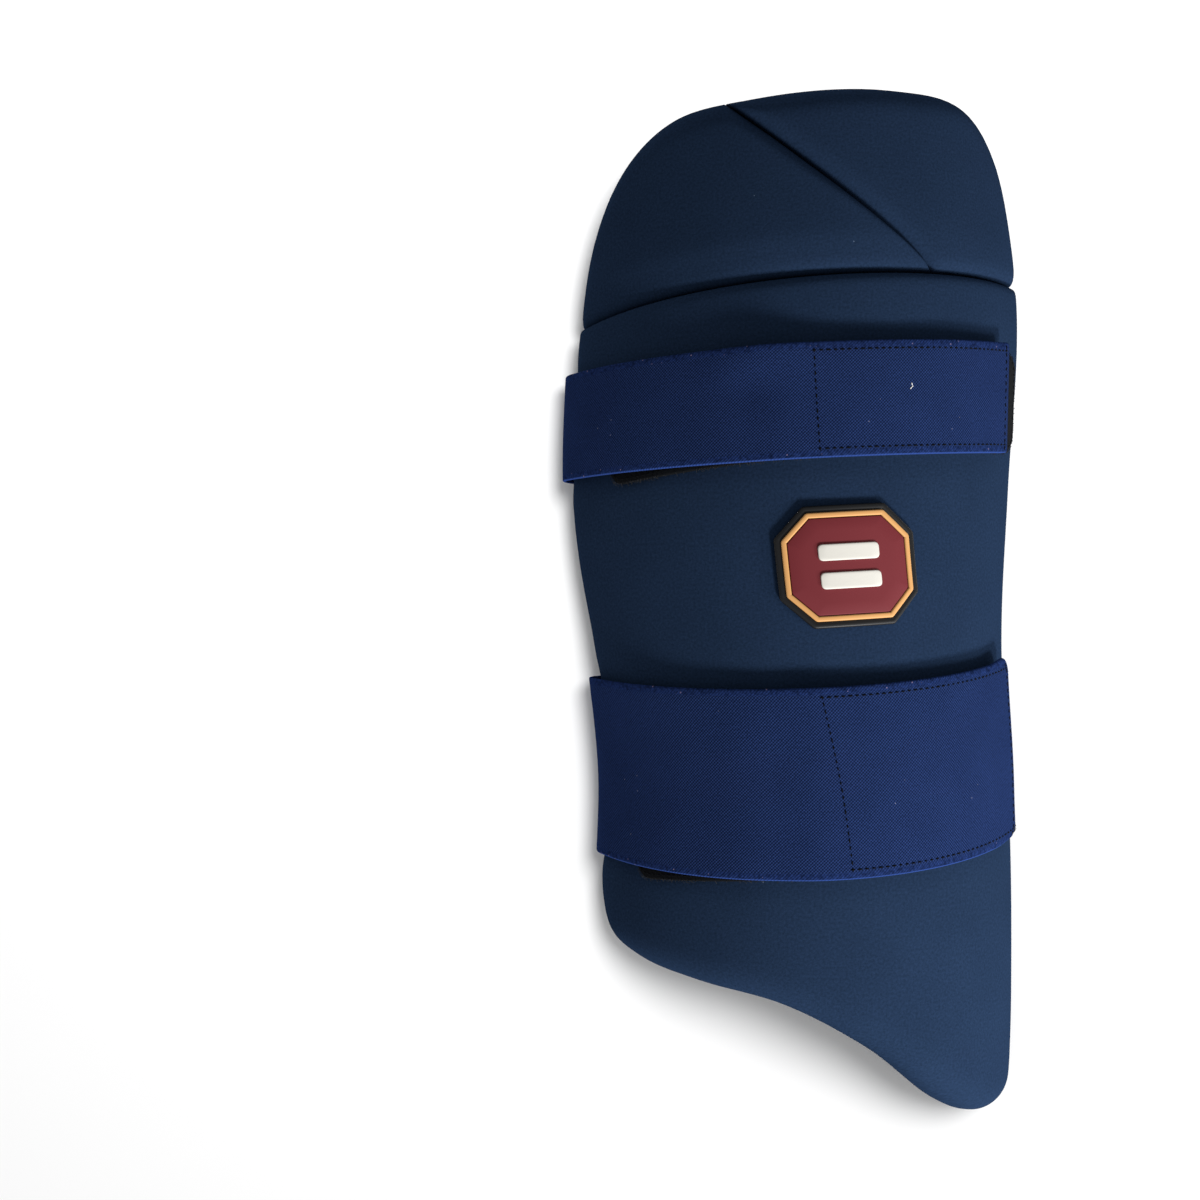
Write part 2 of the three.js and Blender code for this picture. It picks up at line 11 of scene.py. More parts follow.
import bpy
import numpy as np
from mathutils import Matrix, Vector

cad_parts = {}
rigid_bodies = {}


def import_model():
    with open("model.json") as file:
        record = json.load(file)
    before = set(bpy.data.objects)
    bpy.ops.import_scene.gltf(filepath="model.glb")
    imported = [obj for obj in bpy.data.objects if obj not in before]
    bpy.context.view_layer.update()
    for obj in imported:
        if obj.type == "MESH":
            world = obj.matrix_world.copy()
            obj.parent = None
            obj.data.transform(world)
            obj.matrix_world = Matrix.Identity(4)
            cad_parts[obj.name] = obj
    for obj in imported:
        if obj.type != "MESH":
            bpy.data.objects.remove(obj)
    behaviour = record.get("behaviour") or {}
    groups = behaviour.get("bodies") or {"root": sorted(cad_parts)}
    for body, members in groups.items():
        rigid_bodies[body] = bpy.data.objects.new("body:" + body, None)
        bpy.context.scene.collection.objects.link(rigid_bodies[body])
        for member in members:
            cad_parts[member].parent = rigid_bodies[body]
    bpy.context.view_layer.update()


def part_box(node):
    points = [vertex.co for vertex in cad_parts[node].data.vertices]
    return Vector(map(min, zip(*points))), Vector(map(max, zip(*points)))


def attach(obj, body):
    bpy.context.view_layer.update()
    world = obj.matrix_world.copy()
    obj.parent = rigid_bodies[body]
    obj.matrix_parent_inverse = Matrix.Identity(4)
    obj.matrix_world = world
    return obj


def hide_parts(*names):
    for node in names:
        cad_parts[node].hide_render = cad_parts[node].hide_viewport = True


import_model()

MM = 0.001

# Camera and light

IMAGE_SIDE = 1200
CAMERA_AT = (-89.1, 2.2, 680.0)   # straight above, to the left of the guard, as in the photo
FOCAL_PIXELS = 1403
SENSOR = 36.0
FLOOR_HALF, FLOOR_DROP = 3000, 0.1   # mm; the drop keeps the floor's face clear of the straps
SKY_STRENGTH = 0.33

# Round softboxes aimed at the origin. The photo's floor is almost burnt out, while the guard's
# light comes low from its knee end and its right side, so the floor has two lamps of its own.
SOFTBOXES = (   # name, place in m, width in m, watts, what it lights
    ("knee_end_softbox", (0.55, -1.15, 0.86), 0.29, 24, "guard_pieces"),
    ("right_softbox", (0.75, -0.45, 0.42), 0.25, 4.5, "guard_pieces"),
    ("floor_softbox", (0.25, 0.45, 1.60), 0.6, 23, "floor_only"),
    ("floor_fill", (0.0, 0.0, 1.50), 2.0, 7, "floor_only"),
)

# Sizes of the guard, as in the solids

GUARD_LENGTH = 472
HALF_LENGTH = GUARD_LENGTH / 2
HALF_GIRTH = 137
THIGH_RADIUS = 95
PAD_THICKNESS = 26
FIT_GAP = 0.3
SEAT_GAP = 0.6

RIM_WALL = 3
RIM_HEIGHT = 9.5
RIM_ROUND_TOP = 15
RIM_ROUND_HOLLOW = 9

SEAM_LIFT = 2
SEAM_ROUND_HOLLOW = 9
HIP_SEAM_ALONG = 140.5
HIP_SEAM_SLOPE = 0.077
HIP_SEAM_BOW = -3.5
DIAGONAL_FOOT = 58
DIAGONAL_SLOPE = -0.79

STRAP_THICKNESS = 1.8
LOOP_THICKNESS = 1.8
HOOK_THICKNESS = 1.2
HOOK_INSET = 2.5
LOOP_CORNER = 10
HOOK_CORNER = 1
STRAP_RAMP = 24          # longer than in the solids, so that a strap rises softly to its hooks
RAMP_CLEARANCE = 2
BEND_INSET = 15
STRAP_TUCK = 12

BADGE_ACROSS = 15.4
BADGE_ALONG = 14.6
BADGE_WIDTH = 61.5
BADGE_HEIGHT = 52
BADGE_CORNER = 13
BADGE_TURN = 0.06
BADGE_BASE_THICKNESS = 1.6
BADGE_RIM = 3
BADGE_LINE_WIDTH = 2.2
BADGE_LINE_THICKNESS = 0.9
BADGE_FIELD_THICKNESS = 0.6
BADGE_BAR_LENGTH = 26
BADGE_BAR_WIDTH = 7
BADGE_BAR_SPACING = 12
BADGE_BAR_THICKNESS = 0.6

# Thigh form. along is a share of the half length, the others are shares of the thigh radius.
SECTION_COLUMNS = ("along", "radius", "aside", "drop")
SECTIONS = np.array([
    (-1.00, 0.83, 0.050, 0.025),
    (-0.57, 0.84, 0.035, 0.000),
    (-0.34, 0.815, 0.035, 0.000),
    (-0.08, 0.85, -0.015, 0.000),
    (0.22, 0.95, -0.042, 0.000),
    (0.60, 1.00, 0.005, 0.050),
    (1.00, 0.97, 0.000, 0.217),
])

# Outline of the whole guard: shares of the half girth and of the half length, from the hip
# seam's left end down to the tail and back up the right side.
OUTLINE = np.array([
    (-0.97, 0.56), (-1.00, 0.30), (-0.985, 0.06), (-0.93, -0.14), (-0.93, -0.38),
    (-0.96, -0.58), (-0.885, -0.67), (-0.72, -0.70), (-0.45, -0.72), (-0.15, -0.747),
    (0.16, -0.83), (0.48, -0.95), (0.73, -1.00), (0.885, -0.985), (0.96, -0.88),
    (0.99, -0.66), (0.98, -0.35), (0.975, -0.08), (1.00, 0.22), (0.985, 0.50),
    (0.925, 0.70), (0.825, 0.875), (0.64, 0.97), (0.30, 0.977), (-0.20, 0.954),
    (-0.51, 0.93), (-0.73, 0.85), (-0.89, 0.72),
])

# Straps and patches, with the same columns as the solids have. end_curl is the radius of the
# free end's corners, and ripple is how far the upper edge stands off the pad beside the hooks.
# The box_* columns are for the stitched box at the free end: how far in from the edges it runs,
# and where its left line starts and ends. The lower strap's front_end and loop_along are set
# against the photo, 2.3 mm and 1.4 mm off the solids.
STRAPS = {
    "upper": dict(
        width=49.5, along=0.358, slope=0.052, bow=0.0204, front_end=0.734, end_skew=0.09,
        hook_from=-0.0365, loop_from=-0.69, loop_to=0.845, loop_along=0.355,
        loop_slope=0.088, loop_bow=-0.033, loop_width=0.93, loop_skew=0.12, end_curl=2.0,
        ripple=3.0, box_inset=3.8, box_top=-1.7, box_bottom=2.8),
    "lower": dict(
        width=81.5, along=-0.329, slope=0.049, bow=0.0674, front_end=0.768, end_skew=-0.02,
        hook_from=0.022, loop_from=-0.66, loop_to=0.94, loop_along=-0.339,
        loop_slope=0.080, loop_bow=0, loop_width=0.93, loop_skew=0.03, end_curl=7.0,
        ripple=0.6, box_inset=4.2, box_top=-0.2, box_bottom=9.2),
}

# Thigh form


def section(column, along):
    """One column of SECTIONS at the given places along the guard, on a smooth curve."""
    at = np.asarray(along, float) / HALF_LENGTH
    places, values = SECTIONS[:, 0], SECTIONS[:, SECTION_COLUMNS.index(column)]
    before = np.maximum(np.arange(len(places)) - 1, 0)
    after = np.minimum(np.arange(len(places)) + 1, len(places) - 1)
    slopes = (values[after] - values[before]) / (places[after] - places[before])
    i = np.searchsorted(places[1:-1], at)
    span = places[i + 1] - places[i]
    t = np.clip((at - places[i]) / span, 0, 1)
    bump = t * t * (3 - 2 * t)
    leave = t * (1 - t) ** 2 * slopes[i]
    arrive = t * t * (t - 1) * slopes[i + 1]
    return values[i] * (1 - bump) + values[i + 1] * bump + (leave + arrive) * span


def form_at(along):
    """The thigh form's radius and the place of its axis, at places along the guard."""
    radius = THIGH_RADIUS * section("radius", along)
    axis_x = THIGH_RADIUS * section("aside", along)
    axis_z = -THIGH_RADIUS * section("drop", along) - radius
    return radius, axis_x, axis_z


def wrapped(across, along, height):
    """Points of the flat layout wrapped round the thigh, in mm, with Z from the hollow's crest."""
    across, along, height = np.broadcast_arrays(across, along, height)
    radius, axis_x, axis_z = form_at(along)
    turn = across / (radius + PAD_THICKNESS)
    reach = radius + height
    return np.stack([axis_x + reach * np.sin(turn), along, axis_z + reach * np.cos(turn)], -1)


BADGE_BOTTOM = PAD_THICKNESS + SEAT_GAP
BADGE_TOP = BADGE_BOTTOM + BADGE_BASE_THICKNESS
FIELD_BOTTOM = BADGE_TOP + FIT_GAP
FIELD_TOP = FIELD_BOTTOM + BADGE_FIELD_THICKNESS
BAR_BOTTOM = FIELD_TOP + FIT_GAP
BAR_TOP = BAR_BOTTOM + BADGE_BAR_THICKNESS


def badge_place(points):
    """Points of the badge's own plane, turned and moved to their place in the flat layout."""
    points = np.asarray(points, float)
    c, s = math.cos(BADGE_TURN), math.sin(BADGE_TURN)
    turned = points @ np.array([(c, s), (-s, c)])
    return turned + (BADGE_ACROSS, BADGE_ALONG)


def bar_corners(offset):
    """The corners of a white bar at an offset from the badge's middle."""
    x, y = BADGE_BAR_LENGTH / 2, BADGE_BAR_WIDTH / 2
    return np.array([(-x, offset - y), (x, offset - y), (x, offset + y), (-x, offset + y)])


def solids_shift():
    """How far the solids were moved to put the origin under their middle, from one small node."""
    corners = badge_place(bar_corners(BADGE_BAR_SPACING / 2))
    points = np.concatenate([
        wrapped(corners[:, 0], corners[:, 1], height) for height in (BAR_BOTTOM, BAR_TOP)])
    low, high = (np.array(corner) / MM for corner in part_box("badge_bar_upper"))
    return (low + high) / 2 - (points.min(0) + points.max(0)) / 2


SHIFT = solids_shift()
FLOOR_Z = -SHIFT[2]


def in_frame(points):
    """Wrapped points in mm to the frame that the solids are in, in metres."""
    return (points + SHIFT) * MM


# Flat borders


def closed_curve(points, step):
    """A smooth closed curve through points, as even short steps."""
    fine = []
    count = len(points)
    for i in range(count):
        p0, p1, p2, p3 = (points[(i + k) % count] for k in (-1, 0, 1, 2))
        d0, d1, d2 = (math.sqrt(np.linalg.norm(b - a)) for a, b in ((p0, p1), (p1, p2), (p2, p3)))
        leave = ((p1 - p0) / d0 - (p2 - p0) / (d0 + d1) + (p2 - p1) / d1) * d1
        arrive = ((p2 - p1) / d1 - (p3 - p1) / (d1 + d2) + (p3 - p2) / d2) * d1
        t = np.linspace(0, 1, 60, endpoint=False)[:, None]
        fine.append(
            p1 + leave * t + (3 * (p2 - p1) - 2 * leave - arrive) * t ** 2
            + (2 * (p1 - p2) + leave + arrive) * t ** 3)
    fine = np.concatenate(fine)
    return resampled(np.vstack([fine, fine[:1]]), step=step)[:-1]


def lengths_along(points):
    steps = np.linalg.norm(np.diff(points, axis=0), axis=1)
    return np.concatenate([[0], np.cumsum(steps)])


def resampled(points, shares=None, step=None):
    """Points at given shares of a line's length, or at even steps."""
    places = lengths_along(points)
    if shares is None:
        shares = np.linspace(0, 1, max(2, math.ceil(places[-1] / step) + 1))
    at = np.asarray(shares) * places[-1]
    return np.stack([np.interp(at, places, points[:, k]) for k in range(points.shape[1])], -1)


GUARD_BORDER = closed_curve(OUTLINE * (HALF_GIRTH, HALF_LENGTH), 1.0)
BATCH = 2000   # points measured at once, to save memory


def distance_to(points, line):
    """The distance of each flat point from a closed line of short steps."""
    nearest = np.empty(len(points))
    ends = np.roll(line, -1, axis=0)
    edge = ends - line
    square = (edge ** 2).sum(1)
    for start in range(0, len(points), BATCH):
        part = points[start:start + BATCH, None, :] - line[None]
        share = np.clip((part * edge).sum(-1) / square, 0, 1)
        gap = part - share[..., None] * edge
        nearest[start:start + BATCH] = np.sqrt((gap ** 2).sum(-1)).min(1)
    return nearest


def hip_line(x):
    return HIP_SEAM_ALONG + HIP_SEAM_SLOPE * x + HIP_SEAM_BOW * (x / HALF_GIRTH) ** 2


def diagonal_line(x):
    return hip_line(DIAGONAL_FOOT) + DIAGONAL_SLOPE * (x - DIAGONAL_FOOT)


SEAM_LINES = {"hip": (hip_line, HIP_SEAM_SLOPE), "diagonal": (diagonal_line, DIAGONAL_SLOPE)}


def off_seam(points, seam, side):
    """The distance of flat points from a seam, counted on one side of it."""
    line, slope = SEAM_LINES[seam]
    away = side * (points[:, 1] - line(points[:, 0])) / math.hypot(1, slope)
    return away - FIT_GAP / 2


# How a pad falls away into each of its seams: a rounded edge, and beside it a flat slope, which
# may narrow towards the diagonal seam's foot. side is 1 for the pad on the seam's hip side.
PADS = {
    "main_pad": [
        dict(seam="hip", side=-1, depth=5.0, round=5.5, slope_depth=0.5, slope_width=20)],
    "hip_pad_left": [
        dict(seam="hip", side=1, depth=5.0, round=6, slope_depth=3.0, slope_width=17),
        dict(seam="diagonal", side=-1, depth=4.0, round=4, slope_depth=5.2, slope_width=5.6,
             narrows=True)],
    "hip_pad_right": [
        dict(seam="hip", side=1, depth=6.0, round=7, slope_depth=1.5, slope_width=16),
        dict(seam="diagonal", side=1, depth=7.0, round=8, slope_depth=0.5, slope_width=16)],
}
NARROW_OVER = 60         # mm from the diagonal seam's foot over which its slope narrows
NARROWEST = 0.2          # the share of its width that is left there


def rounding(distance, width):
    """How far a rounded edge has fallen, from 1 at the edge to 0 at the rounding's width."""
    share = np.clip(distance / width, 0, 1)
    return 1 - np.sqrt(1 - (1 - share) ** 2)


def smooth(values, low, high):
    """A soft step from 0 at low to 1 at high."""
    t = np.clip((values - low) / (high - low), 0, 1)
    return t * t * (3 - 2 * t)


def rim_fall(edge):
    """How far the outer face has fallen at a distance from the guard's border."""
    return (PAD_THICKNESS - RIM_HEIGHT - RIM_WALL / 2) * rounding(edge, RIM_ROUND_TOP)


def pad_heights(points, cuts):
    """The outer and hollow heights of a pad at flat points."""
    edge = distance_to(points, GUARD_BORDER)
    fall = rim_fall(edge)
    lift = (RIM_HEIGHT - RIM_WALL / 2) * rounding(edge, RIM_ROUND_HOLLOW)
    for cut in cuts:
        away = off_seam(points, cut["seam"], cut["side"])
        dip = cut["depth"] * rounding(away, cut["round"])
        width = cut["slope_width"]
        if cut.get("narrows"):
            width = width * np.clip((DIAGONAL_FOOT - points[:, 0]) / NARROW_OVER, NARROWEST, 1)
        dip += cut["slope_depth"] * width / cut["slope_width"] * np.clip(1 - away / width, 0, 1)
        fall = np.maximum(fall, dip)
        lift = np.maximum(lift, SEAM_LIFT * rounding(away, SEAM_ROUND_HOLLOW))
    return PAD_THICKNESS - fall - pressed(points), lift


def middle_line(strap, across, kind=""):
    """The middle line of a strap, or with kind "loop_" of its loop patch, as places along."""
    along, slope, bow = (strap[kind + key] for key in ("along", "slope", "bow"))
    return along * HALF_LENGTH + slope * across + bow * across * across / HALF_GIRTH


# How the straps press the foam in along their upper and lower edges: depth, and how far the
# groove reaches under the strap and out beside it. It fades past the strap's free end.
GROOVES = {
    1: dict(depth=0.8, under=14, beside=9),
    -1: dict(depth=0.8, under=10, beside=8),
}
GROOVE_FADE = 14


def pressed(points):
    """How deep the foam is pressed in beside the straps, at flat points."""
    fall = np.zeros(len(points))
    for strap in STRAPS.values():
        off = points[:, 1] - middle_line(strap, points[:, 0])
        past_end = points[:, 0] - strap["front_end"] * HALF_GIRTH
        for side, groove in GROOVES.items():
            out = side * off - strap["width"] / 2
            shape = smooth(out, -groove["under"], 0) * (1 - smooth(out, 0, groove["beside"]))
            fall += groove["depth"] * shape * (1 - smooth(past_end, 0, GROOVE_FADE))
    return fall


# Pad meshes

EDGE_ROWS = np.array([0, 0.7, 1.8, 3.3, 5.3, 8.0, 11.5, 15.5])   # mm in from a pad's edge
PAD_STEP = 5.0

# Corners of the pads' meshes on the border, as shares of the half girth and half length: the
# heel and the tail of the main pad, and the outer corners of the left and right hip pads.
PAD_CORNERS = np.array([(-0.935, -0.635), (0.90, -0.975), (-0.73, 0.85), (0.825, 0.875)])


def graded_shares(length):
    """Places from 0 to 1 that lie closer together near both ends."""
    inner = np.linspace(
        EDGE_ROWS[-1], length - EDGE_ROWS[-1],
        max(2, math.ceil((length - 2 * EDGE_ROWS[-1]) / PAD_STEP) + 1))
    return np.concatenate([EDGE_ROWS[:-1], inner, length - EDGE_ROWS[-2::-1]]) / length


def nearest_on_border(place):
    return int(np.argmin(np.linalg.norm(GUARD_BORDER - place, axis=1)))


def border_part(start, end):
    """The guard's border from one flat place to another, the way that OUTLINE runs."""
    first, last = nearest_on_border(start), nearest_on_border(end)
    count = (last - first) % len(GUARD_BORDER)
    return np.roll(GUARD_BORDER, -first, axis=0)[:count + 1]


def seam_crossing(seam, low, high):
    """Where a seam meets the border, between two shares of the half girth."""
    shares = GUARD_BORDER[:, 0] / HALF_GIRTH
    inside = GUARD_BORDER[(shares > low) & (shares < high)]
    inside = inside[inside[:, 1] > HIP_SEAM_ALONG / 2]
    line = SEAM_LINES[seam][0]
    return inside[np.argmin(np.abs(inside[:, 1] - line(inside[:, 0])))]


def seam_part(seam, side, start, end):
    """Points along one side of a seam, half the gap away from it."""
    line, slope = SEAM_LINES[seam]
    x = np.linspace(start[0], end[0], 80)
    return np.stack([x, line(x) + side * math.hypot(1, slope) * FIT_GAP / 2], -1)


def patch_grid(bottom, top, left, right, corners):
    """A grid of flat points that fills four sides; bottom and top run right, the others up.

    corners are the places for the ends of bottom, left to right, and then of top.
    """
    for line, start, end in ((bottom, 0, 1), (top, 2, 3), (left, 0, 2), (right, 1, 3)):
        line[0], line[-1] = corners[start], corners[end]
    u = graded_shares((lengths_along(bottom)[-1] + lengths_along(top)[-1]) / 2)
    v = graded_shares((lengths_along(left)[-1] + lengths_along(right)[-1]) / 2)
    bottom, top = resampled(bottom, u), resampled(top, u)
    left, right = resampled(left, v), resampled(right, v)
    u, v = u[:, None, None], v[None, :, None]
    sides = (1 - v) * bottom[:, None] + v * top[:, None]
    sides = sides + (1 - u) * left[None] + u * right[None]
    left_ends = (1 - u) * ((1 - v) * bottom[0] + v * top[0])
    return sides - left_ends - u * ((1 - v) * bottom[-1] + v * top[-1])


def pad_grids():
    """The flat grid of each pad."""
    left_end = seam_crossing("hip", -1.1, -0.5)
    right_end = seam_crossing("hip", 0.5, 1.1)
    apex = seam_crossing("diagonal", -0.6, 0)
    foot = np.array([DIAGONAL_FOOT, hip_line(DIAGONAL_FOOT)])
    heel, tail, left_top, right_top = (
        GUARD_BORDER[nearest_on_border(place)] for place in PAD_CORNERS * (HALF_GIRTH, HALF_LENGTH))

    hip_main = seam_part("hip", -1, left_end, right_end)
    hip_left = seam_part("hip", 1, left_end, foot)
    hip_right = seam_part("hip", 1, foot, right_end)
    diagonal_left = seam_part("diagonal", -1, foot, apex)
    diagonal_right = seam_part("diagonal", 1, foot, apex)
    return {
        "main_pad": patch_grid(
            border_part(heel, tail), hip_main,
            border_part(left_end, heel)[::-1], border_part(tail, right_end),
            (heel, tail, hip_main[0], hip_main[-1])),
        "hip_pad_left": patch_grid(
            hip_left, border_part(apex, left_top)[::-1],
            border_part(left_top, left_end)[::-1], diagonal_left,
            (hip_left[0], hip_left[-1], left_top, diagonal_left[-1])),
        "hip_pad_right": patch_grid(
            hip_right, border_part(right_top, apex)[::-1],
            diagonal_right, border_part(right_end, right_top),
            (diagonal_right[0], hip_right[-1], diagonal_right[-1], right_top))}


def make_piece(name, points, faces, uvs=None):
    """An object with its place in its mesh; uvs are named lists of one pair for each point."""
    mesh = bpy.data.meshes.new(name)
    mesh.from_pydata([tuple(p) for p in points], [], faces)
    corners = np.empty(len(mesh.loops), int)
    mesh.loops.foreach_get("vertex_index", corners)
    for uv_name, pairs in (uvs or {}).items():
        layer = mesh.uv_layers.new(name=uv_name)
        layer.data.foreach_set("uv", np.asarray(pairs, np.float32)[corners].ravel())
    mesh.polygons.foreach_set("use_smooth", [True] * len(mesh.polygons))
    mesh.update()
    piece = bpy.data.objects.new(name, mesh)
    bpy.context.scene.collection.objects.link(piece)
    return piece


def ring_quads(rings, count, closed=False):
    """The quads between rings of count points each; closed joins the last ring to the first."""
    index = np.arange(rings * count).reshape(rings, count)
    if closed:
        index = np.vstack([index, index[:1]])
    turned = np.roll(index, -1, axis=1)
    return np.stack([index[:-1], turned[:-1], turned[1:], index[1:]], -1).reshape(-1, 4)


def points_of(piece):
    points = np.empty(len(piece.data.vertices) * 3, np.float32)
    piece.data.vertices.foreach_get("co", points)
    return points.reshape(-1, 3).astype(float)


def set_points(piece, points):
    piece.data.vertices.foreach_set("co", np.asarray(points, np.float32).ravel())
    piece.data.update()


def apply_modifiers(piece):
    """Puts what the piece's modifiers make into its mesh, and removes them."""
    graph = bpy.context.evaluated_depsgraph_get()
    mesh = bpy.data.meshes.new_from_object(piece.evaluated_get(graph))
    piece.modifiers.clear()
    old, piece.data = piece.data, mesh
    bpy.data.meshes.remove(old)
    piece.data.name = piece.name


def subdivide(piece, levels):
    modifier = piece.modifiers.new("subdivision", "SUBSURF")
    modifier.levels = modifier.render_levels = levels
    modifier.uv_smooth = "NONE"
    modifier.boundary_smooth = "ALL"
    apply_modifiers(piece)


def pad_piece(name, grid):
    """A closed pad over a flat grid: outer face, hollow face and the walls between them."""
    columns, rows = grid.shape[:2]
    flat = grid.reshape(-1, 2)
    top, bottom = pad_heights(flat, PADS[name])
    count = len(flat)
    index = np.arange(count).reshape(columns, rows)
    loop = np.concatenate([index[:, 0], index[-1, 1:], index[-2::-1, -1], index[0, -2:0:-1]])
    middle = (top[loop] + bottom[loop]) / 2
    points = np.concatenate([
        wrapped(flat[:, 0], flat[:, 1], top),
        wrapped(flat[:, 0], flat[:, 1], bottom),
        wrapped(flat[loop, 0], flat[loop, 1], middle)])
    a, b, c, d = index[:-1, :-1], index[1:, :-1], index[1:, 1:], index[:-1, 1:]
    quads = np.stack([a, b, c, d], -1).reshape(-1, 4)
    after = np.roll(loop, -1)
    wall = 2 * count + np.arange(len(loop))
    wall_after = np.roll(wall, -1)
    faces = np.concatenate([
        quads,
        quads[:, ::-1] + count,
        np.stack([wall, wall_after, after, loop], -1),
        np.stack([loop + count, after + count, wall_after, wall], -1)])
    uv = np.concatenate([flat, flat, flat[loop]]) * MM
    return make_piece(f"{name}_cover", in_frame(points), faces.tolist(), {"flat": uv})


# Swelling: the pads' covers are cloth under pressure, held at their edges and seams

SWELL_PRESSURE = 4.0
SWELL_FRAMES = 20
SWELL_QUALITY = 5
SWELL_CAP = 1.6          # mm that the foam may push a cover out between the straps
HELD_EDGE, FREE_EDGE = 5.0, 26.0
BESIDE_STRAP = (1.0, 16.0)    # mm from a strap between which a cover comes free
BESIDE_BADGE = (0.62, 1.0)    # the same from the badge's middle, in its own widths


def flat_of(piece):
    """The flat place of each point of a piece, in mm, from its UV map."""
    corners = np.empty(len(piece.data.loops), int)
    piece.data.loops.foreach_get("vertex_index", corners)
    pairs = np.empty(len(corners) * 2, np.float32)
    piece.data.uv_layers["flat"].data.foreach_get("uv", pairs)
    flat = np.zeros((len(piece.data.vertices), 2))
    flat[corners] = pairs.reshape(-1, 2)
    return flat / MM


def uncovered(flat):
    """The share by which flat places are clear of the straps and the badge: 0 under them."""
    open_share = np.ones(len(flat))
    for strap in STRAPS.values():
        away = np.abs(flat[:, 1] - middle_line(strap, flat[:, 0])) - strap["width"] / 2
        open_share *= smooth(away, *BESIDE_STRAP)
    from_badge = np.hypot(
        (flat[:, 0] - BADGE_ACROSS) / BADGE_WIDTH, (flat[:, 1] - BADGE_ALONG) / BADGE_HEIGHT)
    return open_share * smooth(from_badge, *BESIDE_BADGE)


def swell(pads):
    """Runs all covers as cloth at once, and keeps a limited share of how far each point moved."""
    freedom = {}
    for name, piece in pads.items():
        flat = flat_of(piece)
        edge = distance_to(flat, GUARD_BORDER)
        for cut in PADS[name]:
            edge = np.minimum(edge, off_seam(flat, cut["seam"], cut["side"]))
        free = smooth(edge, HELD_EDGE, FREE_EDGE)
        freedom[name] = free * uncovered(flat)
        held = piece.vertex_groups.new(name="held")
        for i, share in enumerate(free):
            held.add([i], 1 - share, "REPLACE")
        cloth = piece.modifiers.new("swelling", "CLOTH")
        cloth.settings.use_pressure = True
        cloth.settings.uniform_pressure_force = SWELL_PRESSURE
        cloth.settings.effector_weights.gravity = 0
        cloth.settings.vertex_group_mass = held.name
        cloth.settings.quality = SWELL_QUALITY
    for number in range(1, SWELL_FRAMES + 1):
        bpy.context.scene.frame_set(number)
    graph = bpy.context.evaluated_depsgraph_get()
    for name, piece in pads.items():
        mesh = piece.evaluated_get(graph).to_mesh()
        moved = np.empty(len(mesh.vertices) * 3, np.float32)
        mesh.vertices.foreach_get("co", moved)
        start = points_of(piece)
        move = moved.reshape(-1, 3) - start
        far = np.maximum(np.linalg.norm(move, axis=1), 1e-9)
        limit = SWELL_CAP * MM * freedom[name] / far
        piece.modifiers.clear()
        piece.vertex_groups.clear()
        set_points(piece, start + move * np.minimum(limit, freedom[name])[:, None])
    bpy.context.scene.frame_set(1)


# Straps and patches

LOOP_TOP = PAD_THICKNESS + SEAT_GAP + LOOP_THICKNESS
HOOK_BOTTOM = LOOP_TOP + FIT_GAP
HOOK_TOP = HOOK_BOTTOM + HOOK_THICKNESS
PATCH_SEAT = 0.2         # gap left under a patch, whose solid sits higher on faceted pads


def strap_underside(strap, across):
    """The height of a strap's underside, which climbs from the loop patch onto the hooks."""
    top = strap["hook_from"] * HALF_GIRTH - RAMP_CLEARANCE
    climb = smooth(across, top - STRAP_RAMP, top)
    return LOOP_TOP + FIT_GAP + (HOOK_TOP - LOOP_TOP) * climb


RIPPLE_AT, RIPPLE_SPREAD = -24, 18       # mm across
RIPPLE_ECHO_AT, RIPPLE_ECHO = 60, 0.3    # mm across, and its share of the first


def ripple(strap, across, w):
    """How far a strap's upper edge stands off: most where the hooks begin, again further on."""
    first = np.exp(-((across - RIPPLE_AT) / RIPPLE_SPREAD) ** 2)
    echo = RIPPLE_ECHO * np.exp(-((across - RIPPLE_ECHO_AT) / RIPPLE_SPREAD) ** 2)
    return strap["ripple"] * (first + echo) * smooth(w / strap["width"], 0.05, 0.5)


def left_edge_at(along):
    """How far the left side edge lies from the crest line at places along the guard."""
    left = GUARD_BORDER[GUARD_BORDER[:, 0] < -HALF_GIRTH / 2]
    order = np.argsort(left[:, 1])
    return -np.interp(along, left[order, 1], left[order, 0])


def bend_start(strap):
    """Where a strap leaves the outer face for its bend, as a place across."""
    return BEND_INSET - left_edge_at(strap["along"] * HALF_LENGTH)


def edge_bend(bend_across, along):
    """The bend of a strap round the left edge: turn, radius, lean and centre."""
    radius, axis_x, axis_z = form_at(along)
    turn = -bend_across / (radius + PAD_THICKNESS)
    reach = radius + LOOP_TOP + FIT_GAP + STRAP_THICKNESS / 2
    start_x = axis_x - reach * np.sin(turn)
    start_z = axis_z + reach * np.cos(turn)
    lean = math.pi / 2 - turn
    bend = (start_z - FLOOR_Z - STRAP_THICKNESS / 2) / (1 + np.sin(lean))
    return turn, bend, lean, start_x + bend * np.cos(lean), start_z - bend * np.sin(lean)


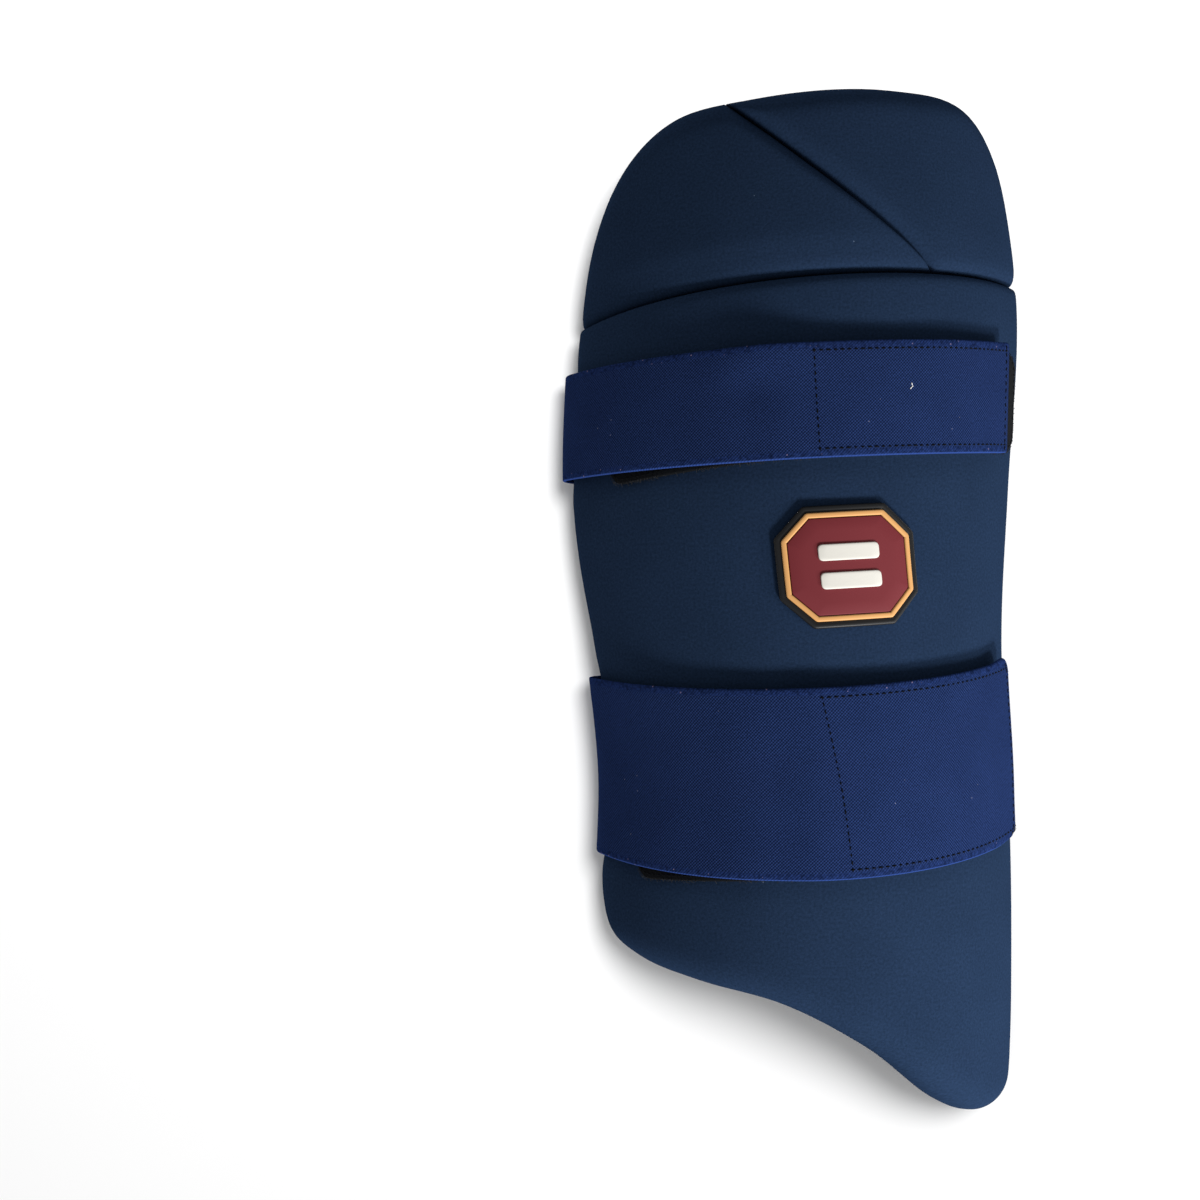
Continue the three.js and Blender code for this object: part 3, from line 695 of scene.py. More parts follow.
def strap_surface(strap, stations, w, lift):
    """Points of a strap: stations are rows of across, share of the bend, share of the back."""
    across, bend, back = (stations[:, k][:, None] for k in range(3))
    w, lift = np.broadcast_arrays(w, lift)
    bend_across = bend_start(strap)
    front_end = strap["front_end"] * HALF_GIRTH
    skew = strap["end_skew"] * np.maximum(across / front_end, 0)
    share = (across - front_end) / (bend_across - front_end)
    along = middle_line(strap, across) + w
    end_across = front_end - w * skew
    curl = strap["end_curl"]
    corner = np.clip((np.abs(w) - strap["width"] / 2 + curl) / curl, 0, 1)
    near_end = 1 - smooth(front_end - across, 0, 3 * curl)
    at = end_across + (bend_across - end_across) * share
    at = at - curl * (1 - np.sqrt(1 - corner ** 2)) * near_end
    front = wrapped(at, along, strap_underside(strap, at) + ripple(strap, at, w) + lift)

    leaving = middle_line(strap, bend_across)
    leaving_slope = strap["slope"] + 2 * strap["bow"] * bend_across / HALF_GIRTH
    along = leaving + w + 0 * bend
    turn, bend_radius, lean, centre_x, centre_z = edge_bend(bend_across, along)
    radius, axis_x, _ = form_at(along)
    angle = math.pi - lean + bend * (math.pi / 2 + lean)
    reach = bend_radius - STRAP_THICKNESS / 2 + lift
    far_edge = axis_x + radius * np.sin(turn) + STRAP_TUCK
    run = back * (far_edge - centre_x)
    rest = np.stack([
        centre_x + reach * np.cos(angle) + run, along - leaving_slope * run,
        centre_z + reach * np.sin(angle)], -1)
    return np.where((bend + back)[..., None] > 0, rest, front)


FREE_END_ROWS = np.array([0, 0.15, 0.5, 1.0, 1.8])   # mm in from a strap's free end
FIRST_FRONT_ROW = 3                                  # mm in, where the even rows start
SEWN_END_ROWS = (0.994, 0.998)                       # shares of the back run
FRONT_STEP = 2.0
BEND_ROWS = 40
BACK_ROWS = 60


def strap_stations(strap):
    """Rows of a strap from its free end over the front, round the bend and along the back."""
    bend_across = bend_start(strap)
    front_end = strap["front_end"] * HALF_GIRTH
    count = math.ceil((front_end - bend_across) / FRONT_STEP)
    across = np.concatenate([
        front_end - FREE_END_ROWS,
        np.linspace(front_end - FIRST_FRONT_ROW, bend_across, count)])
    back = np.sort(np.concatenate([np.linspace(0, 1, BACK_ROWS + 1)[1:], SEWN_END_ROWS]))
    return np.array(
        [(x, 0, 0) for x in across]
        + [(bend_across, share, 0) for share in np.linspace(0, 1, BEND_ROWS + 1)[1:]]
        + [(bend_across, 1, share) for share in back])


STRAP_RING_STEP = 1.6
PATCH_STEP = 2.0
STRAP_END_ROUND = 1.0    # mm over which a strap's ends are rounded
PATCH_END_ROUND = 0.9
THIN_END = 0.1           # the rounding starts at this share, so that no end is a sharp line


def band_ring(width, thickness, step):
    """The section of a band with rounded edges, as places across it and lifts."""
    r = thickness / 2
    flat = np.linspace(width / 2 - r, r - width / 2, math.ceil(width / step))
    angles = np.linspace(0, math.pi, 7)[1:-1]
    round_x, round_y = r * np.sin(angles), r * np.cos(angles)
    w = np.concatenate([flat, flat[-1] - round_x, flat[::-1], flat[0] + round_x])
    lift = np.concatenate([
        np.full(len(flat), thickness), r + round_y, np.zeros(len(flat)), r - round_y])
    return w, lift, len(flat)


def band_piece(name, points, w, flat_count, lengths):
    """A closed band from rings of points, with its weave's UV map and its distance from edges."""
    rows, count = points.shape[:2]
    faces = ring_quads(rows, count)[:, [0, 3, 2, 1]]
    side = (count - 2 * flat_count) // 2
    below = flat_count * 2 + side - 1
    cap = [(k, k + 1, below - k - 1, below - k) for k in range(flat_count - 1)]
    cap.append(range(flat_count - 1, flat_count + side + 1))
    cap.append([k % count for k in range(count - side - 1, count + 1)])
    last = (rows - 1) * count
    caps = [tuple(face) for face in cap] + [tuple(last + k for k in face[::-1]) for face in cap]
    uv = np.stack(np.broadcast_arrays(lengths[:, None], w[None]), -1).reshape(-1, 2) * MM
    inset = np.abs(w).max() - np.abs(w)
    end = np.minimum(lengths, lengths[-1] - lengths)
    edge = np.stack(np.broadcast_arrays(inset[None], end[:, None]), -1).reshape(-1, 2) * MM
    return make_piece(
        name, in_frame(points.reshape(-1, 3)), faces.tolist() + caps,
        {"weave": uv, "edge": edge})


def end_thickness(distance, width):
    """The share of a band's thickness that is left near its rounded ends."""
    return 1 - rounding(np.maximum(distance / width, THIN_END), 1)[:, None]


def strap_piece(key):
    """A strap's webbing, and its length."""
    strap = STRAPS[key]
    stations = strap_stations(strap)
    w, lift, flat_count = band_ring(strap["width"], STRAP_THICKNESS, STRAP_RING_STEP)
    lengths = lengths_along(strap_surface(strap, stations, 0.0, 0.0)[:, 0])
    squeeze = end_thickness(np.minimum(lengths, lengths[-1] - lengths), STRAP_END_ROUND)
    half = STRAP_THICKNESS / 2
    points = strap_surface(strap, stations, w[None], half + (lift[None] - half) * squeeze)
    piece = band_piece(f"{key}_strap_webbing", points, w, flat_count, lengths)
    return piece, lengths[-1]


def on_pad(across, along, height):
    """Points laid on the outer face and its rounded rim, at a height given away from the rim."""
    flat = np.stack(np.broadcast_arrays(across, along), -1).reshape(-1, 2)
    fall = rim_fall(distance_to(flat, GUARD_BORDER)) + pressed(flat)
    return wrapped(across, along, height - fall.reshape(np.shape(along)))


def patch_piece(name, strap, kind, start, end, width, corner, skew, bottom, top):
    """A thin patch with rounded corners on the outer face. skew is the slant of its far end."""
    arc = corner * (1 - np.cos(np.linspace(0, math.pi / 2, 9)))
    inner = np.linspace(start + corner, end - corner, math.ceil((end - start) / PATCH_STEP))
    across = np.concatenate([start + arc, inner[1:-1], end - arc[::-1]])
    inset = np.maximum(np.maximum(start + corner - across, across - (end - corner)), 0)
    half = width / 2 - corner + np.sqrt(np.maximum(corner ** 2 - inset ** 2, 0))
    w, lift, flat_count = band_ring(width, top - bottom, PATCH_STEP)
    scaled = w[None] * (half / (width / 2))[:, None]
    squeeze = end_thickness(np.minimum(across - start, end - across), PATCH_END_ROUND)
    middle = (top - bottom) / 2
    lifts = bottom + middle + (lift[None] - middle) * squeeze
    slant = skew * np.maximum(across / end, 0)[:, None]
    points = on_pad(
        across[:, None] - slant * scaled,
        middle_line(strap, across, kind)[:, None] + scaled, lifts)
    return band_piece(name, points, w, flat_count, across - start)


# Badge


def rounded_corners(corners, radius, step=0.8):
    """A closed border with each corner turned to an arc, as short steps."""
    border = []
    count = len(corners)
    for i, corner in enumerate(corners):
        before, after = corners[i - 1] - corner, corners[(i + 1) % count] - corner
        before, after = before / np.linalg.norm(before), after / np.linalg.norm(after)
        half = math.acos(np.clip(before @ after, -1, 1)) / 2
        reach = radius / math.tan(half)
        t = np.linspace(0, 1, 7)[:, None]
        first, last = corner + before * reach, corner + after * reach
        border.append(first * (1 - t) ** 2 + 2 * corner * t * (1 - t) + last * t ** 2)
    border = np.concatenate(border)
    return resampled(np.vstack([border, border[:1]]), step=step)[:-1]


def badge_corners(inset):
    """The eight corners of the badge's border, moved in by an inset."""
    x, y = BADGE_WIDTH / 2 - inset, BADGE_HEIGHT / 2 - inset
    cut = BADGE_CORNER - inset * (2 - math.sqrt(2))
    return np.array([
        (-x, cut - y), (cut - x, -y), (x - cut, -y), (x, cut - y),
        (x, y - cut), (x - cut, y), (cut - x, y), (-x, y - cut)])


def inward(border, inset):
    """A closed border moved inwards along its own normals."""
    along = np.roll(border, -1, axis=0) - np.roll(border, 1, axis=0)
    along /= np.linalg.norm(along, axis=1)[:, None]
    return border + np.stack([-along[:, 1], along[:, 0]], -1) * inset


def moulded_plate(name, border, profile):
    """A closed plate on the badge: profile rows are an inset and a height, from the underside."""
    centre = (border.max(0) + border.min(0)) / 2
    rings = [(inward(border, inset), height) for inset, height in profile]
    last, top = rings[-1]
    rings += [(centre + (last - centre) * share, top) for share in (0.75, 0.5, 0.25)]
    first, low = rings[0]
    rings = [(centre + (first - centre) * share, low) for share in (0.35, 0.7)] + rings
    flat = np.concatenate([ring for ring, _ in rings] + [centre[None], centre[None]])
    heights = np.concatenate([np.full(len(ring), height) for ring, height in rings] + [[low, top]])
    placed = badge_place(flat)
    points = wrapped(placed[:, 0], placed[:, 1], heights)
    count = len(border)
    faces = ring_quads(len(rings), count).tolist()
    start, end = len(flat) - 2, (len(rings) - 1) * count
    for i in range(count):
        j = (i + 1) % count
        faces.append((start, j, i))
        faces.append((end + i, end + j, len(flat) - 1))
    return make_piece(name, in_frame(points), faces)


def moulded_line(name, outer, profile):
    """A closed raised line on the badge: profile rows go round its section."""
    rings = [(inward(outer, inset), height) for inset, height in profile]
    flat = badge_place(np.concatenate([ring for ring, _ in rings]))
    heights = np.concatenate([np.full(len(ring), height) for ring, height in rings])
    points = wrapped(flat[:, 0], flat[:, 1], heights)
    return make_piece(
        name, in_frame(points), ring_quads(len(rings), len(outer), closed=True).tolist())


def badge_pieces():
    """The badge: a plate with a raised rim, and on it the gold line, the field and the bars."""
    rim_top = BADGE_TOP + 0.4
    plate_border = rounded_corners(badge_corners(0), 2.5)
    plate = moulded_plate("badge_plate", plate_border, [
        (0.3, BADGE_BOTTOM - PATCH_SEAT), (0.0, BADGE_BOTTOM + 0.2), (0.0, rim_top - 0.8),
        (0.25, rim_top - 0.3), (0.8, rim_top), (1.9, rim_top), (2.35, rim_top - 0.2),
        (2.6, BADGE_TOP + 0.2), (2.9, BADGE_TOP)])
    line_top = FIELD_BOTTOM + BADGE_LINE_THICKNESS
    line_border = rounded_corners(badge_corners(BADGE_RIM), 1.6)
    width = BADGE_LINE_WIDTH
    line = moulded_line("badge_gold_line", line_border, [
        (0.0, BADGE_TOP), (0.0, line_top - 0.45), (0.2, line_top - 0.12), (0.55, line_top),
        (width - 0.55, line_top), (width - 0.2, line_top - 0.12), (width, line_top - 0.45),
        (width, BADGE_TOP)])
    field_border = rounded_corners(badge_corners(BADGE_RIM + width + FIT_GAP), 1.2)
    field = moulded_plate("badge_maroon_field", field_border, [
        (0.0, BADGE_TOP), (0.0, FIELD_TOP - 0.3), (0.15, FIELD_TOP - 0.08), (0.4, FIELD_TOP)])
    finish_piece(plate, "badge_base", BLACK)
    finish_piece(line, "badge_line", GOLD)
    finish_piece(field, "badge_field", MAROON)
    for key, offset in (("upper", BADGE_BAR_SPACING / 2), ("lower", -BADGE_BAR_SPACING / 2)):
        border = rounded_corners(bar_corners(offset), 2.2, 0.6)
        bar = moulded_plate(f"badge_white_bar_{key}", border, [
            (0.0, FIELD_TOP), (0.0, BAR_TOP - 0.35), (0.15, BAR_TOP - 0.1), (0.45, BAR_TOP)])
        finish_piece(bar, f"badge_bar_{key}", WHITE)


# Stitches: one Geometry Nodes tree strings short threads along a drawn path


def add_node(tree, kind, inputs=None, **settings):
    """Adds a node with its settings; an input is a constant, an output or a node's first one."""
    node = tree.nodes.new(kind)
    for name, value in settings.items():
        setattr(node, name, value)
    for key, value in (inputs or {}).items():
        if isinstance(value, bpy.types.Node):
            value = value.outputs[0]
        if isinstance(value, bpy.types.NodeSocket):
            tree.links.new(value, node.inputs[key])
        else:
            node.inputs[key].default_value = value
    return node


def stitch_tree():
    """Threads of a given length, width and pitch along the edges of a mesh."""
    tree = bpy.data.node_groups.new("stitch_row", "GeometryNodeTree")
    sockets = {}
    for name, kind in (
            ("Path", "NodeSocketGeometry"), ("Pitch", "NodeSocketFloat"),
            ("Length", "NodeSocketFloat"), ("Width", "NodeSocketFloat"),
            ("Thread", "NodeSocketMaterial")):
        item = tree.interface.new_socket(name=name, in_out="INPUT", socket_type=kind)
        sockets[name] = item.identifier
    tree.interface.new_socket(
        name="Stitches", in_out="OUTPUT", socket_type="NodeSocketGeometry")
    given = add_node(tree, "NodeGroupInput").outputs
    curve = add_node(tree, "GeometryNodeMeshToCurve", {"Mesh": given["Path"]})
    spaced = add_node(tree, "GeometryNodeResampleCurve", {
        "Curve": curve, "Length": given["Pitch"]}, mode="LENGTH")
    tangent = add_node(tree, "GeometryNodeInputTangent")
    turned = add_node(
        tree, "FunctionNodeAlignRotationToVector", {"Vector": tangent}, axis="X")
    thread = add_node(tree, "GeometryNodeMeshUVSphere", {
        "Segments": 8, "Rings": 5, "Radius": 0.5})
    # No two threads are quite as long: each is this share of the given length.
    uneven = add_node(tree, "FunctionNodeRandomValue", {
        2: 0.6, 3: 1.15, "Seed": 4}, data_type="FLOAT")
    length = add_node(tree, "ShaderNodeMath", {
        0: given["Length"], 1: uneven.outputs[1]}, operation="MULTIPLY")
    size = add_node(tree, "ShaderNodeCombineXYZ", {
        0: length, 1: given["Width"], 2: given["Width"]})
    placed = add_node(tree, "GeometryNodeInstanceOnPoints", {
        "Points": spaced, "Instance": thread, "Rotation": turned, "Scale": size})
    real = add_node(tree, "GeometryNodeRealizeInstances", {0: placed})
    painted = add_node(tree, "GeometryNodeSetMaterial", {
        "Geometry": real, "Material": given["Thread"]})
    shaded = add_node(tree, "GeometryNodeSetShadeSmooth", {0: painted})
    add_node(tree, "NodeGroupOutput", {0: shaded})
    return tree, sockets


STITCH_TREE, STITCH_SOCKETS = stitch_tree()


def stitch_piece(name, paths, thread, sizes):
    """Stitches along lines of points in the frame, as one plain mesh."""
    points, edges = [], []
    for path in paths:
        start = len(points)
        points += [tuple(p) for p in path]
        edges += [(start + k, start + k + 1) for k in range(len(path) - 1)]
    mesh = bpy.data.meshes.new(name)
    mesh.from_pydata(points, edges, [])
    piece = bpy.data.objects.new(name, mesh)
    bpy.context.scene.collection.objects.link(piece)
    modifier = piece.modifiers.new("stitches", "NODES")
    modifier.node_group = STITCH_TREE
    modifier[STITCH_SOCKETS["Thread"]] = thread
    for key, size in zip(("Pitch", "Length", "Width"), sizes):
        modifier[STITCH_SOCKETS[key]] = size * MM
    apply_modifiers(piece)
    finish_piece(piece)


BOX_END_INSET = 3.2      # mm from a strap's free end to the box's last line
BOX_OVERRUN = 1.5        # mm by which that line runs past the box


def strap_path(strap, places, lift):
    """A line over a strap's outer face through rows of a place across and one over its width."""
    across, w = np.asarray(places).T
    stations = np.stack([across, 0 * across, 0 * across], -1)
    return in_frame(strap_surface(strap, stations, w[:, None], STRAP_THICKNESS + lift)[:, 0])


def strap_box_paths(strap):
    """The lines of the stitched box at a strap's free end, on its outer face."""
    half = strap["width"] / 2 - strap["box_inset"]
    end = strap["front_end"] * HALF_GIRTH - BOX_END_INSET
    turns = [
        ((end, half), (strap["box_top"], half)),
        ((strap["box_top"], half), (strap["box_bottom"], -half)),
        ((strap["box_bottom"], -half), (end, -half)),
        ((end, -half - BOX_OVERRUN), (end, half + BOX_OVERRUN))]
    return [strap_path(strap, np.linspace(start, stop, 60), 0.05) for start, stop in turns]


def loop_size(strap):
    """Where a loop patch starts and ends across, and its width."""
    start, end = (strap[key] * HALF_GIRTH for key in ("loop_from", "loop_to"))
    return start, end, strap["loop_width"] * strap["width"]


def patch_border(strap, inset):
    """A closed line inside a loop patch's border, in the flat layout."""
    start, end, width = loop_size(strap)
    half = width / 2
    corners = np.array([
        (start + inset, -half + inset), (end - inset, -half + inset),
        (end - inset, half - inset), (start + inset, half - inset)])
    border = rounded_corners(corners, LOOP_CORNER - inset, 1.5)
    border = np.vstack([border, border[:1]])
    slant = strap["loop_skew"] * np.maximum(border[:, 0] / end, 0)
    return np.stack([
        border[:, 0] - slant * border[:, 1],
        middle_line(strap, border[:, 0], "loop_") + border[:, 1]], -1)


def patch_path(strap, inset):
    """The line of stitches round a loop patch."""
    flat = patch_border(strap, inset)
    return in_frame(on_pad(flat[:, 0], flat[:, 1], LOOP_TOP))


# Pitch, length and width in mm of the stitches, and of what the same tree makes
BOX_STITCH = (3.0, 2.2, 0.7)
LOOP_STITCH = (2.8, 2.0, 0.6)
FIBRE = (9.0, 1.5, 0.28)                  # the pitch leaves one fibre on each short line
LINT_THREAD = (0.9, 1.3, 0.55)
LINT_BEND = np.array([(40.7, 5.4), (41.1, 4.5), (40.4, 3.7)])
LOOP_STITCH_INSET = 2.2
FUZZ_FIBRES = 420
FUZZ_SEED = 5


def fuzz_paths(strap):
    """Short lines for the loose fibres that stand out of a loop patch's cut edge."""
    rng = np.random.default_rng(FUZZ_SEED)
    border = patch_border(strap, 0.3)
    at = rng.integers(0, len(border) - 1, FUZZ_FIBRES)
    step = border[at + 1] - border[at]
    along = step / np.linalg.norm(step, axis=1)[:, None]
    outward = np.stack([along[:, 1], -along[:, 0]], -1)
    start = border[at] + step * rng.random((FUZZ_FIBRES, 1))
    end = (start + outward * rng.uniform(0.2, 1.1, (FUZZ_FIBRES, 1))
           + along * rng.uniform(-0.9, 0.9, (FUZZ_FIBRES, 1)))
    ends = [
        in_frame(on_pad(flat[:, 0], flat[:, 1], height))
        for flat, height in ((start, LOOP_TOP - 0.2), (end, LOOP_TOP - 0.9))]
    return np.stack(ends, 1)


# Materials


def from_hex(text):
    """An sRGB hex colour as linear values."""
    parts = [int(text[k:k + 2], 16) / 255 for k in (0, 2, 4)]
    return tuple(p / 12.92 if p <= 0.04045 else ((p + 0.055) / 1.055) ** 2.4 for p in parts) + (1,)


def new_material(name, **surface):
    """A material with its shader, whose sockets take the given constants."""
    material = bpy.data.materials.new(name)
    material.use_nodes = True
    shader = material.node_tree.nodes["Principled BSDF"]
    for key, value in surface.items():
        shader.inputs[key.replace("_", " ")].default_value = value
    return material, material.node_tree, shader


def clouded(tree, place, colour, size, spread):
    """A colour made lighter and darker by soft clouds of a size in mm, by a share each way."""
    cloud = add_node(tree, "ShaderNodeTexNoise", {
        "Vector": place, "Scale": 1 / (size * MM), "Detail": 4.0})
    level = add_node(tree, "ShaderNodeMapRange", {
        "Value": cloud, "From Min": 0.3, "From Max": 0.7,
        "To Min": 1 - spread, "To Max": 1 + spread})
    return add_node(
        tree, "ShaderNodeVectorMath", {0: colour, "Scale": level}, operation="SCALE")


def laid_over(tree, colour, layers):
    """A colour with others laid over it in turn, each where its mask is 1."""
    for mask, over in layers:
        layer = add_node(tree, "ShaderNodeMix", {0: mask, 6: colour, 7: over}, data_type="RGBA")
        colour = layer.outputs[2]
    return colour


def dots(tree, place, spacing, size, share):
    """A mask of small round dots: their spacing and size in mm, and the share that is there."""
    cells = add_node(tree, "ShaderNodeTexVoronoi", {"Vector": place, "Scale": 1 / (spacing * MM)})
    near = add_node(tree, "ShaderNodeMath", {
        0: cells.outputs["Distance"], 1: size / spacing / 2}, operation="LESS_THAN")
    pick = add_node(tree, "ShaderNodeSeparateColor", {"Color": cells.outputs["Color"]})
    there = add_node(tree, "ShaderNodeMath", {0: pick, 1: share}, operation="LESS_THAN")
    return add_node(tree, "ShaderNodeMath", {0: near, 1: there}, operation="MULTIPLY")


def jersey_fabric():
    # Polyester and elastane jersey bonded on foam: matt navy, with a faint fine knit. Such a
    # knit scatters most of its shine, so the specular level is low.
    material, tree, shader = new_material(
        "navy_polyester_jersey", Roughness=0.85, Specular_IOR_Level=0.0)
    place = add_node(tree, "ShaderNodeUVMap", uv_map="flat")
    # The knit is 0.5 mm in the real cloth. It is drawn at 1.2 mm, so that it shows.
    knit = add_node(tree, "ShaderNodeTexNoise", {
        "Vector": place, "Scale": 1 / (1.2 * MM), "Detail": 2.0, "Roughness": 0.7})
    tone = laid_over(tree, from_hex("14202f"), [(knit, from_hex("293b58"))])
    shade = clouded(tree, place, tone, 30, 0.05)
    linted = laid_over(tree, shade, [(dots(tree, place, 14.0, 0.7, 0.12), from_hex("56657c"))])
    bump = add_node(
        tree, "ShaderNodeBump", {"Height": knit, "Strength": 0.25, "Distance": 0.4 * MM})
    tree.links.new(linted, shader.inputs["Base Color"])
    tree.links.new(bump.outputs[0], shader.inputs["Normal"])
    return material


def elastic_webbing():
    # Woven elastic: matt blue in fine slanting rows, with ribbed edges and caught lint.
    material, tree, shader = new_material(
        "navy_elastic_webbing", Roughness=0.8, Specular_IOR_Level=0.0)
    place = add_node(tree, "ShaderNodeUVMap", uv_map="weave")
    parts = add_node(tree, "ShaderNodeSeparateXYZ", {0: place})
    # Two sets of slanting lines cross and leave rows of fine points. The real ones are 0.8 mm
    # apart. They are drawn 1 mm apart, which is 1.4 mm along each axis, so that they show. A
    # wave at scale 1 has 20 periods in 2 pi units.
    lines = []
    for way in ("ADD", "SUBTRACT"):
        slanted = add_node(
            tree, "ShaderNodeMath", {0: parts, 1: parts.outputs[1]}, operation=way)
        line_place = add_node(tree, "ShaderNodeCombineXYZ", {0: slanted})
        lines.append(add_node(tree, "ShaderNodeTexWave", {
            "Vector": line_place, "Scale": 2 * math.pi / 20 / (1.4 * MM)}).outputs[1])
    twill = add_node(tree, "ShaderNodeMath", {0: lines[0], 1: lines[1]}, operation="ADD")
    yarn = add_node(tree, "ShaderNodeTexNoise", {
        "Vector": place, "Scale": 1 / (1.1 * MM), "Detail": 2.0, "Roughness": 0.8})
    weave = add_node(tree, "ShaderNodeMath", {0: twill, 1: yarn}, operation="MULTIPLY")
    tone = laid_over(tree, from_hex("0c152a"), [(weave, from_hex("2b3e70"))])
    shade = clouded(tree, place, tone, 20, 0.06)
    # The selvedge is a rib 3 mm wide, beaded by the weft. Along the lower edge the outermost yarn
    # is painted lighter: a painted highlight for the low light that catches that edge.
    edge = add_node(tree, "ShaderNodeUVMap", uv_map="edge")
    inset = add_node(tree, "ShaderNodeSeparateXYZ", {0: edge})
    beads = add_node(tree, "ShaderNodeTexVoronoi", {"Vector": place, "Scale": 1 / (1.2 * MM)})
    beaded = laid_over(
        tree, from_hex("26396c"), [(beads.outputs["Distance"], from_hex("131e3c"))])
    rib, outermost, lower_half = (
        add_node(tree, "ShaderNodeMath", {0: of, 1: limit * MM}, operation="LESS_THAN")
        for of, limit in ((inset, 3), (inset, 0.6), (parts.outputs[1], 0)))
    # painted highlight: the outermost yarn of the lower edge only, lit from below
    painted_edge_highlight, rib_lint = (
        add_node(tree, "ShaderNodeMath", {0: one, 1: other}, operation="MULTIPLY")
        for one, other in ((outermost, lower_half), (dots(tree, place, 2.4, 0.7, 0.25), rib)))
    colour = laid_over(tree, shade, [
        # the lower edge's painted highlight
        (rib, beaded), (painted_edge_highlight, from_hex("2c4380")),
        (dots(tree, place, 4.5, 0.5, 0.16), from_hex("7d7f96")),
        (rib_lint, from_hex("6d6480"))])
    bump = add_node(
        tree, "ShaderNodeBump", {"Height": weave, "Strength": 0.5, "Distance": 0.5 * MM})
    tree.links.new(colour, shader.inputs["Base Color"])
    tree.links.new(bump.outputs[0], shader.inputs["Normal"])
    return material


def plain_material(name, colour, grain, grain_depth, **surface):
    """A moulded or brushed material of one colour with a fine grain of the given size in mm."""
    material, tree, shader = new_material(name, **surface)
    shader.inputs["Base Color"].default_value = from_hex(colour)
    place = add_node(tree, "ShaderNodeTexCoord").outputs["Object"]
    noise = add_node(tree, "ShaderNodeTexNoise", {
        "Vector": place, "Scale": 1 / (grain * MM), "Detail": 3.0})
    bump = add_node(tree, "ShaderNodeBump", {
        "Height": noise, "Strength": 0.3, "Distance": grain_depth * MM})
    tree.links.new(bump.outputs[0], shader.inputs["Normal"])
    return material


JERSEY = jersey_fabric()
WEBBING = elastic_webbing()
# Brushed nylon loops: near black, and no shine. The hooks beside them shine faintly.
PILE = plain_material(
    "black_nylon_loop_pile", "0e1013", 0.8, 0.6, Roughness=0.95, Specular_IOR_Level=0.1)
HOOKS = plain_material(
    "black_nylon_hook_tape", "101114", 0.8, 0.5, Roughness=0.6, Specular_IOR_Level=0.2)
# Soft rubber moulded in colours: smooth and satin, with soft light along its edges
BLACK = plain_material(
    "black_moulded_rubber", "161617", 0.6, 0.05, Roughness=0.45, Specular_IOR_Level=0.3)
GOLD = plain_material("gold_moulded_rubber", "d89f5e", 0.6, 0.05, Roughness=0.6)
MAROON = plain_material(
    "maroon_moulded_rubber", "702229", 0.6, 0.05, Roughness=0.65, Specular_IOR_Level=0.3)
WHITE = plain_material("white_moulded_rubber", "dedbd2", 0.6, 0.05, Roughness=0.6)
# Sewing thread and loose fibres: thin dark strands that catch little light
THREAD = plain_material(
    "black_polyester_thread", "05070b", 0.5, 0.1, Roughness=0.8, Specular_IOR_Level=0.1)
FIBRES = plain_material(
    "black_nylon_fibres", "24262a", 0.5, 0.1, Roughness=0.9, Specular_IOR_Level=0.1)
# A caught bit of cotton: dull white, the one bright speck on the straps
LINT = plain_material("white_cotton_lint", "e6e6e6", 0.5, 0.1, Roughness=0.9)
# A matt paper sweep: even white, so that the soft shadows show
FLOOR = plain_material("white_paper_floor", "f3f3f3", 3.0, 0.02, Roughness=0.9)


def paint(piece, material):
    piece.data.materials.clear()
    piece.data.materials.append(material)


def finish_piece(piece, node=None, material=None):
    """Rides a piece on the guard and hides the solid that it replaces; stitches replace no node and
    are painted.
    """
    if material:
        paint(piece, material)
    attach(piece, "root")
    if node:
        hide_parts(node)


# Assembly

covers = {name: pad_piece(name, grid) for name, grid in pad_grids().items()}
swell(covers)
for name, cover in covers.items():
    subdivide(cover, 1)
    finish_piece(cover, name, JERSEY)

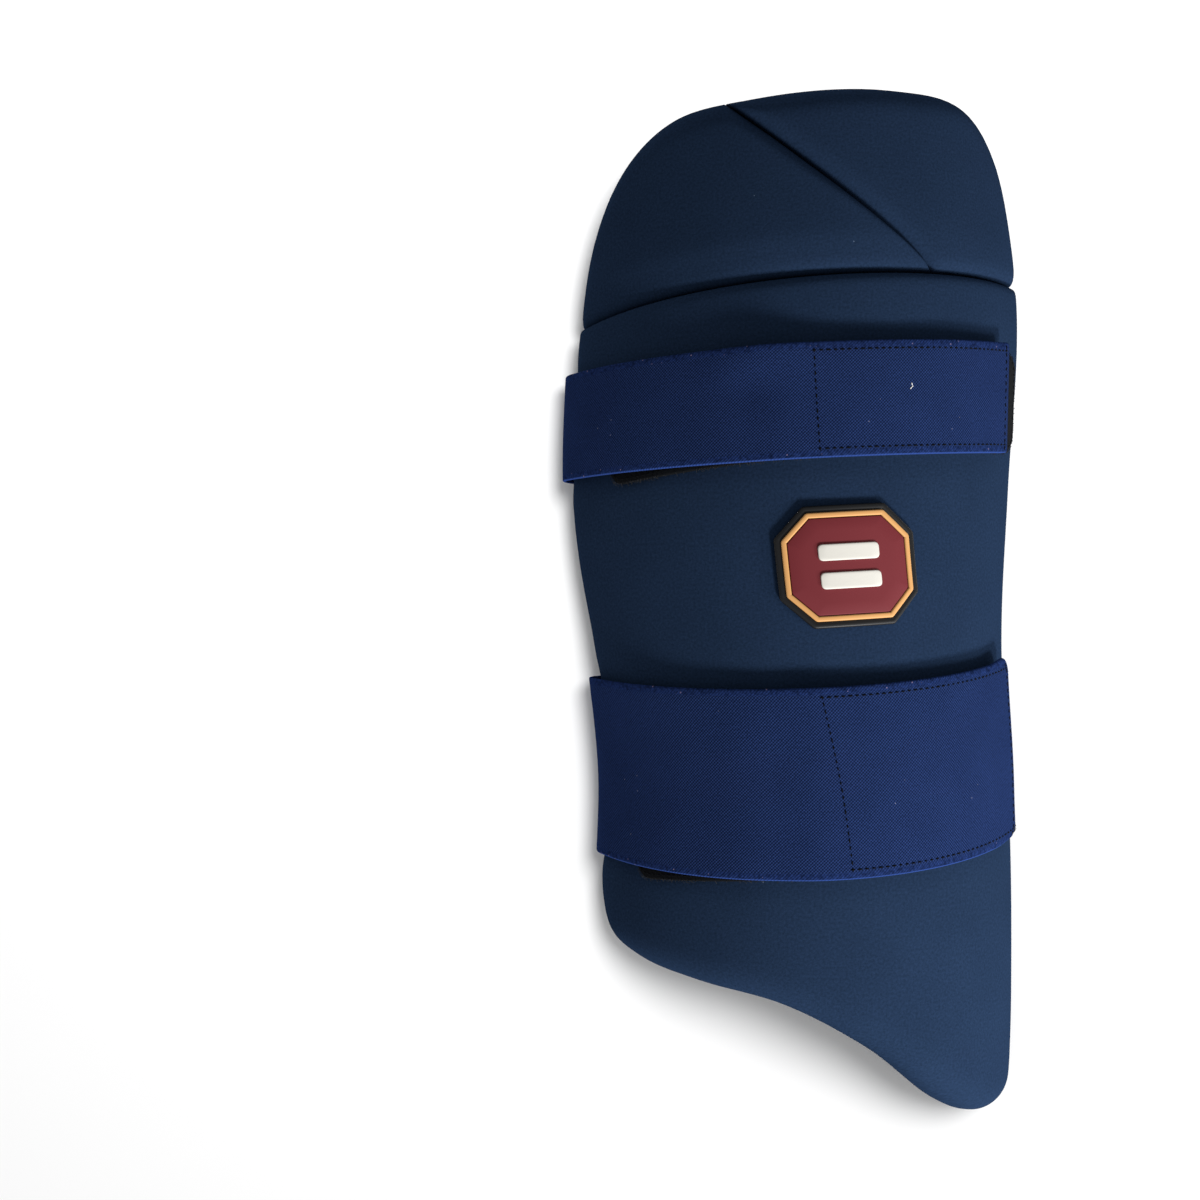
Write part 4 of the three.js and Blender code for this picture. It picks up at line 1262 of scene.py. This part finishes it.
for key, strap in STRAPS.items():
    loop_start, loop_end, loop_width = loop_size(strap)
    loop = patch_piece(
        f"{key}_loop_pile", strap, "loop_", loop_start, loop_end, loop_width,
        LOOP_CORNER, strap["loop_skew"], PAD_THICKNESS + PATCH_SEAT, LOOP_TOP)
    finish_piece(loop, f"{key}_loop_patch", PILE)

    hook_start = strap["hook_from"] * HALF_GIRTH
    hook_end = strap["front_end"] * HALF_GIRTH - HOOK_INSET
    hook_width = strap["width"] - 2 * HOOK_INSET
    hook = patch_piece(
        f"{key}_hook_tape", strap, "", hook_start, hook_end, hook_width,
        HOOK_CORNER, strap["end_skew"], HOOK_BOTTOM, HOOK_TOP)
    finish_piece(hook, f"{key}_hook_patch", HOOKS)

    webbing, length = strap_piece(key)
    finish_piece(webbing, f"{key}_strap", WEBBING)

    stitch_piece(
        f"{key}_strap_stitches", strap_box_paths(strap), THREAD, BOX_STITCH)
    stitch_piece(f"{key}_loop_stitches",
                 [patch_path(strap, LOOP_STITCH_INSET)], THREAD, LOOP_STITCH)
    stitch_piece(f"{key}_loop_fuzz", fuzz_paths(strap), FIBRES, FIBRE)

stitch_piece("upper_strap_lint",
             [strap_path(STRAPS["upper"], LINT_BEND, 0.15)], LINT, LINT_THREAD)

badge_pieces()

# Floor, light and camera


def studio():
    scene = bpy.context.scene
    lit = {name: bpy.data.collections.new(name) for name in ("guard_pieces", "floor_only")}
    for piece in scene.collection.objects:
        lit["guard_pieces"].objects.link(piece)
    half, down = FLOOR_HALF * MM, -FLOOR_DROP * MM
    floor = make_piece(
        "floor", [(-half, -half, down), (half, -half, down), (half, half, down),
                  (-half, half, down)], [(0, 1, 2, 3)])
    paint(floor, FLOOR)
    lit["floor_only"].objects.link(floor)

    scene.world = bpy.data.worlds.new("studio")
    scene.world.use_nodes = True
    sky = scene.world.node_tree.nodes["Background"].inputs
    sky["Color"].default_value = (1, 1, 1, 1)
    sky["Strength"].default_value = SKY_STRENGTH

    for name, place, width, watts, lights in SOFTBOXES:
        light = bpy.data.lights.new(name, "AREA")
        light.shape, light.size, light.energy = "DISK", width, watts
        holder = bpy.data.objects.new(name, light)
        scene.collection.objects.link(holder)
        holder.location = place
        x, y, z = np.array(place) / np.linalg.norm(place)
        holder.rotation_euler = (math.acos(z), 0, math.atan2(y, x) + math.pi / 2)
        holder.light_linking.receiver_collection = lit[lights]

    data = bpy.data.cameras.new("camera")
    data.sensor_width = SENSOR
    data.lens = FOCAL_PIXELS / IMAGE_SIDE * SENSOR
    camera = bpy.data.objects.new("camera", data)
    scene.collection.objects.link(camera)
    camera.location = [value * MM for value in CAMERA_AT]
    scene.camera = camera
    scene.view_settings.view_transform = "Standard"


studio()

bpy.context.view_layer.update()
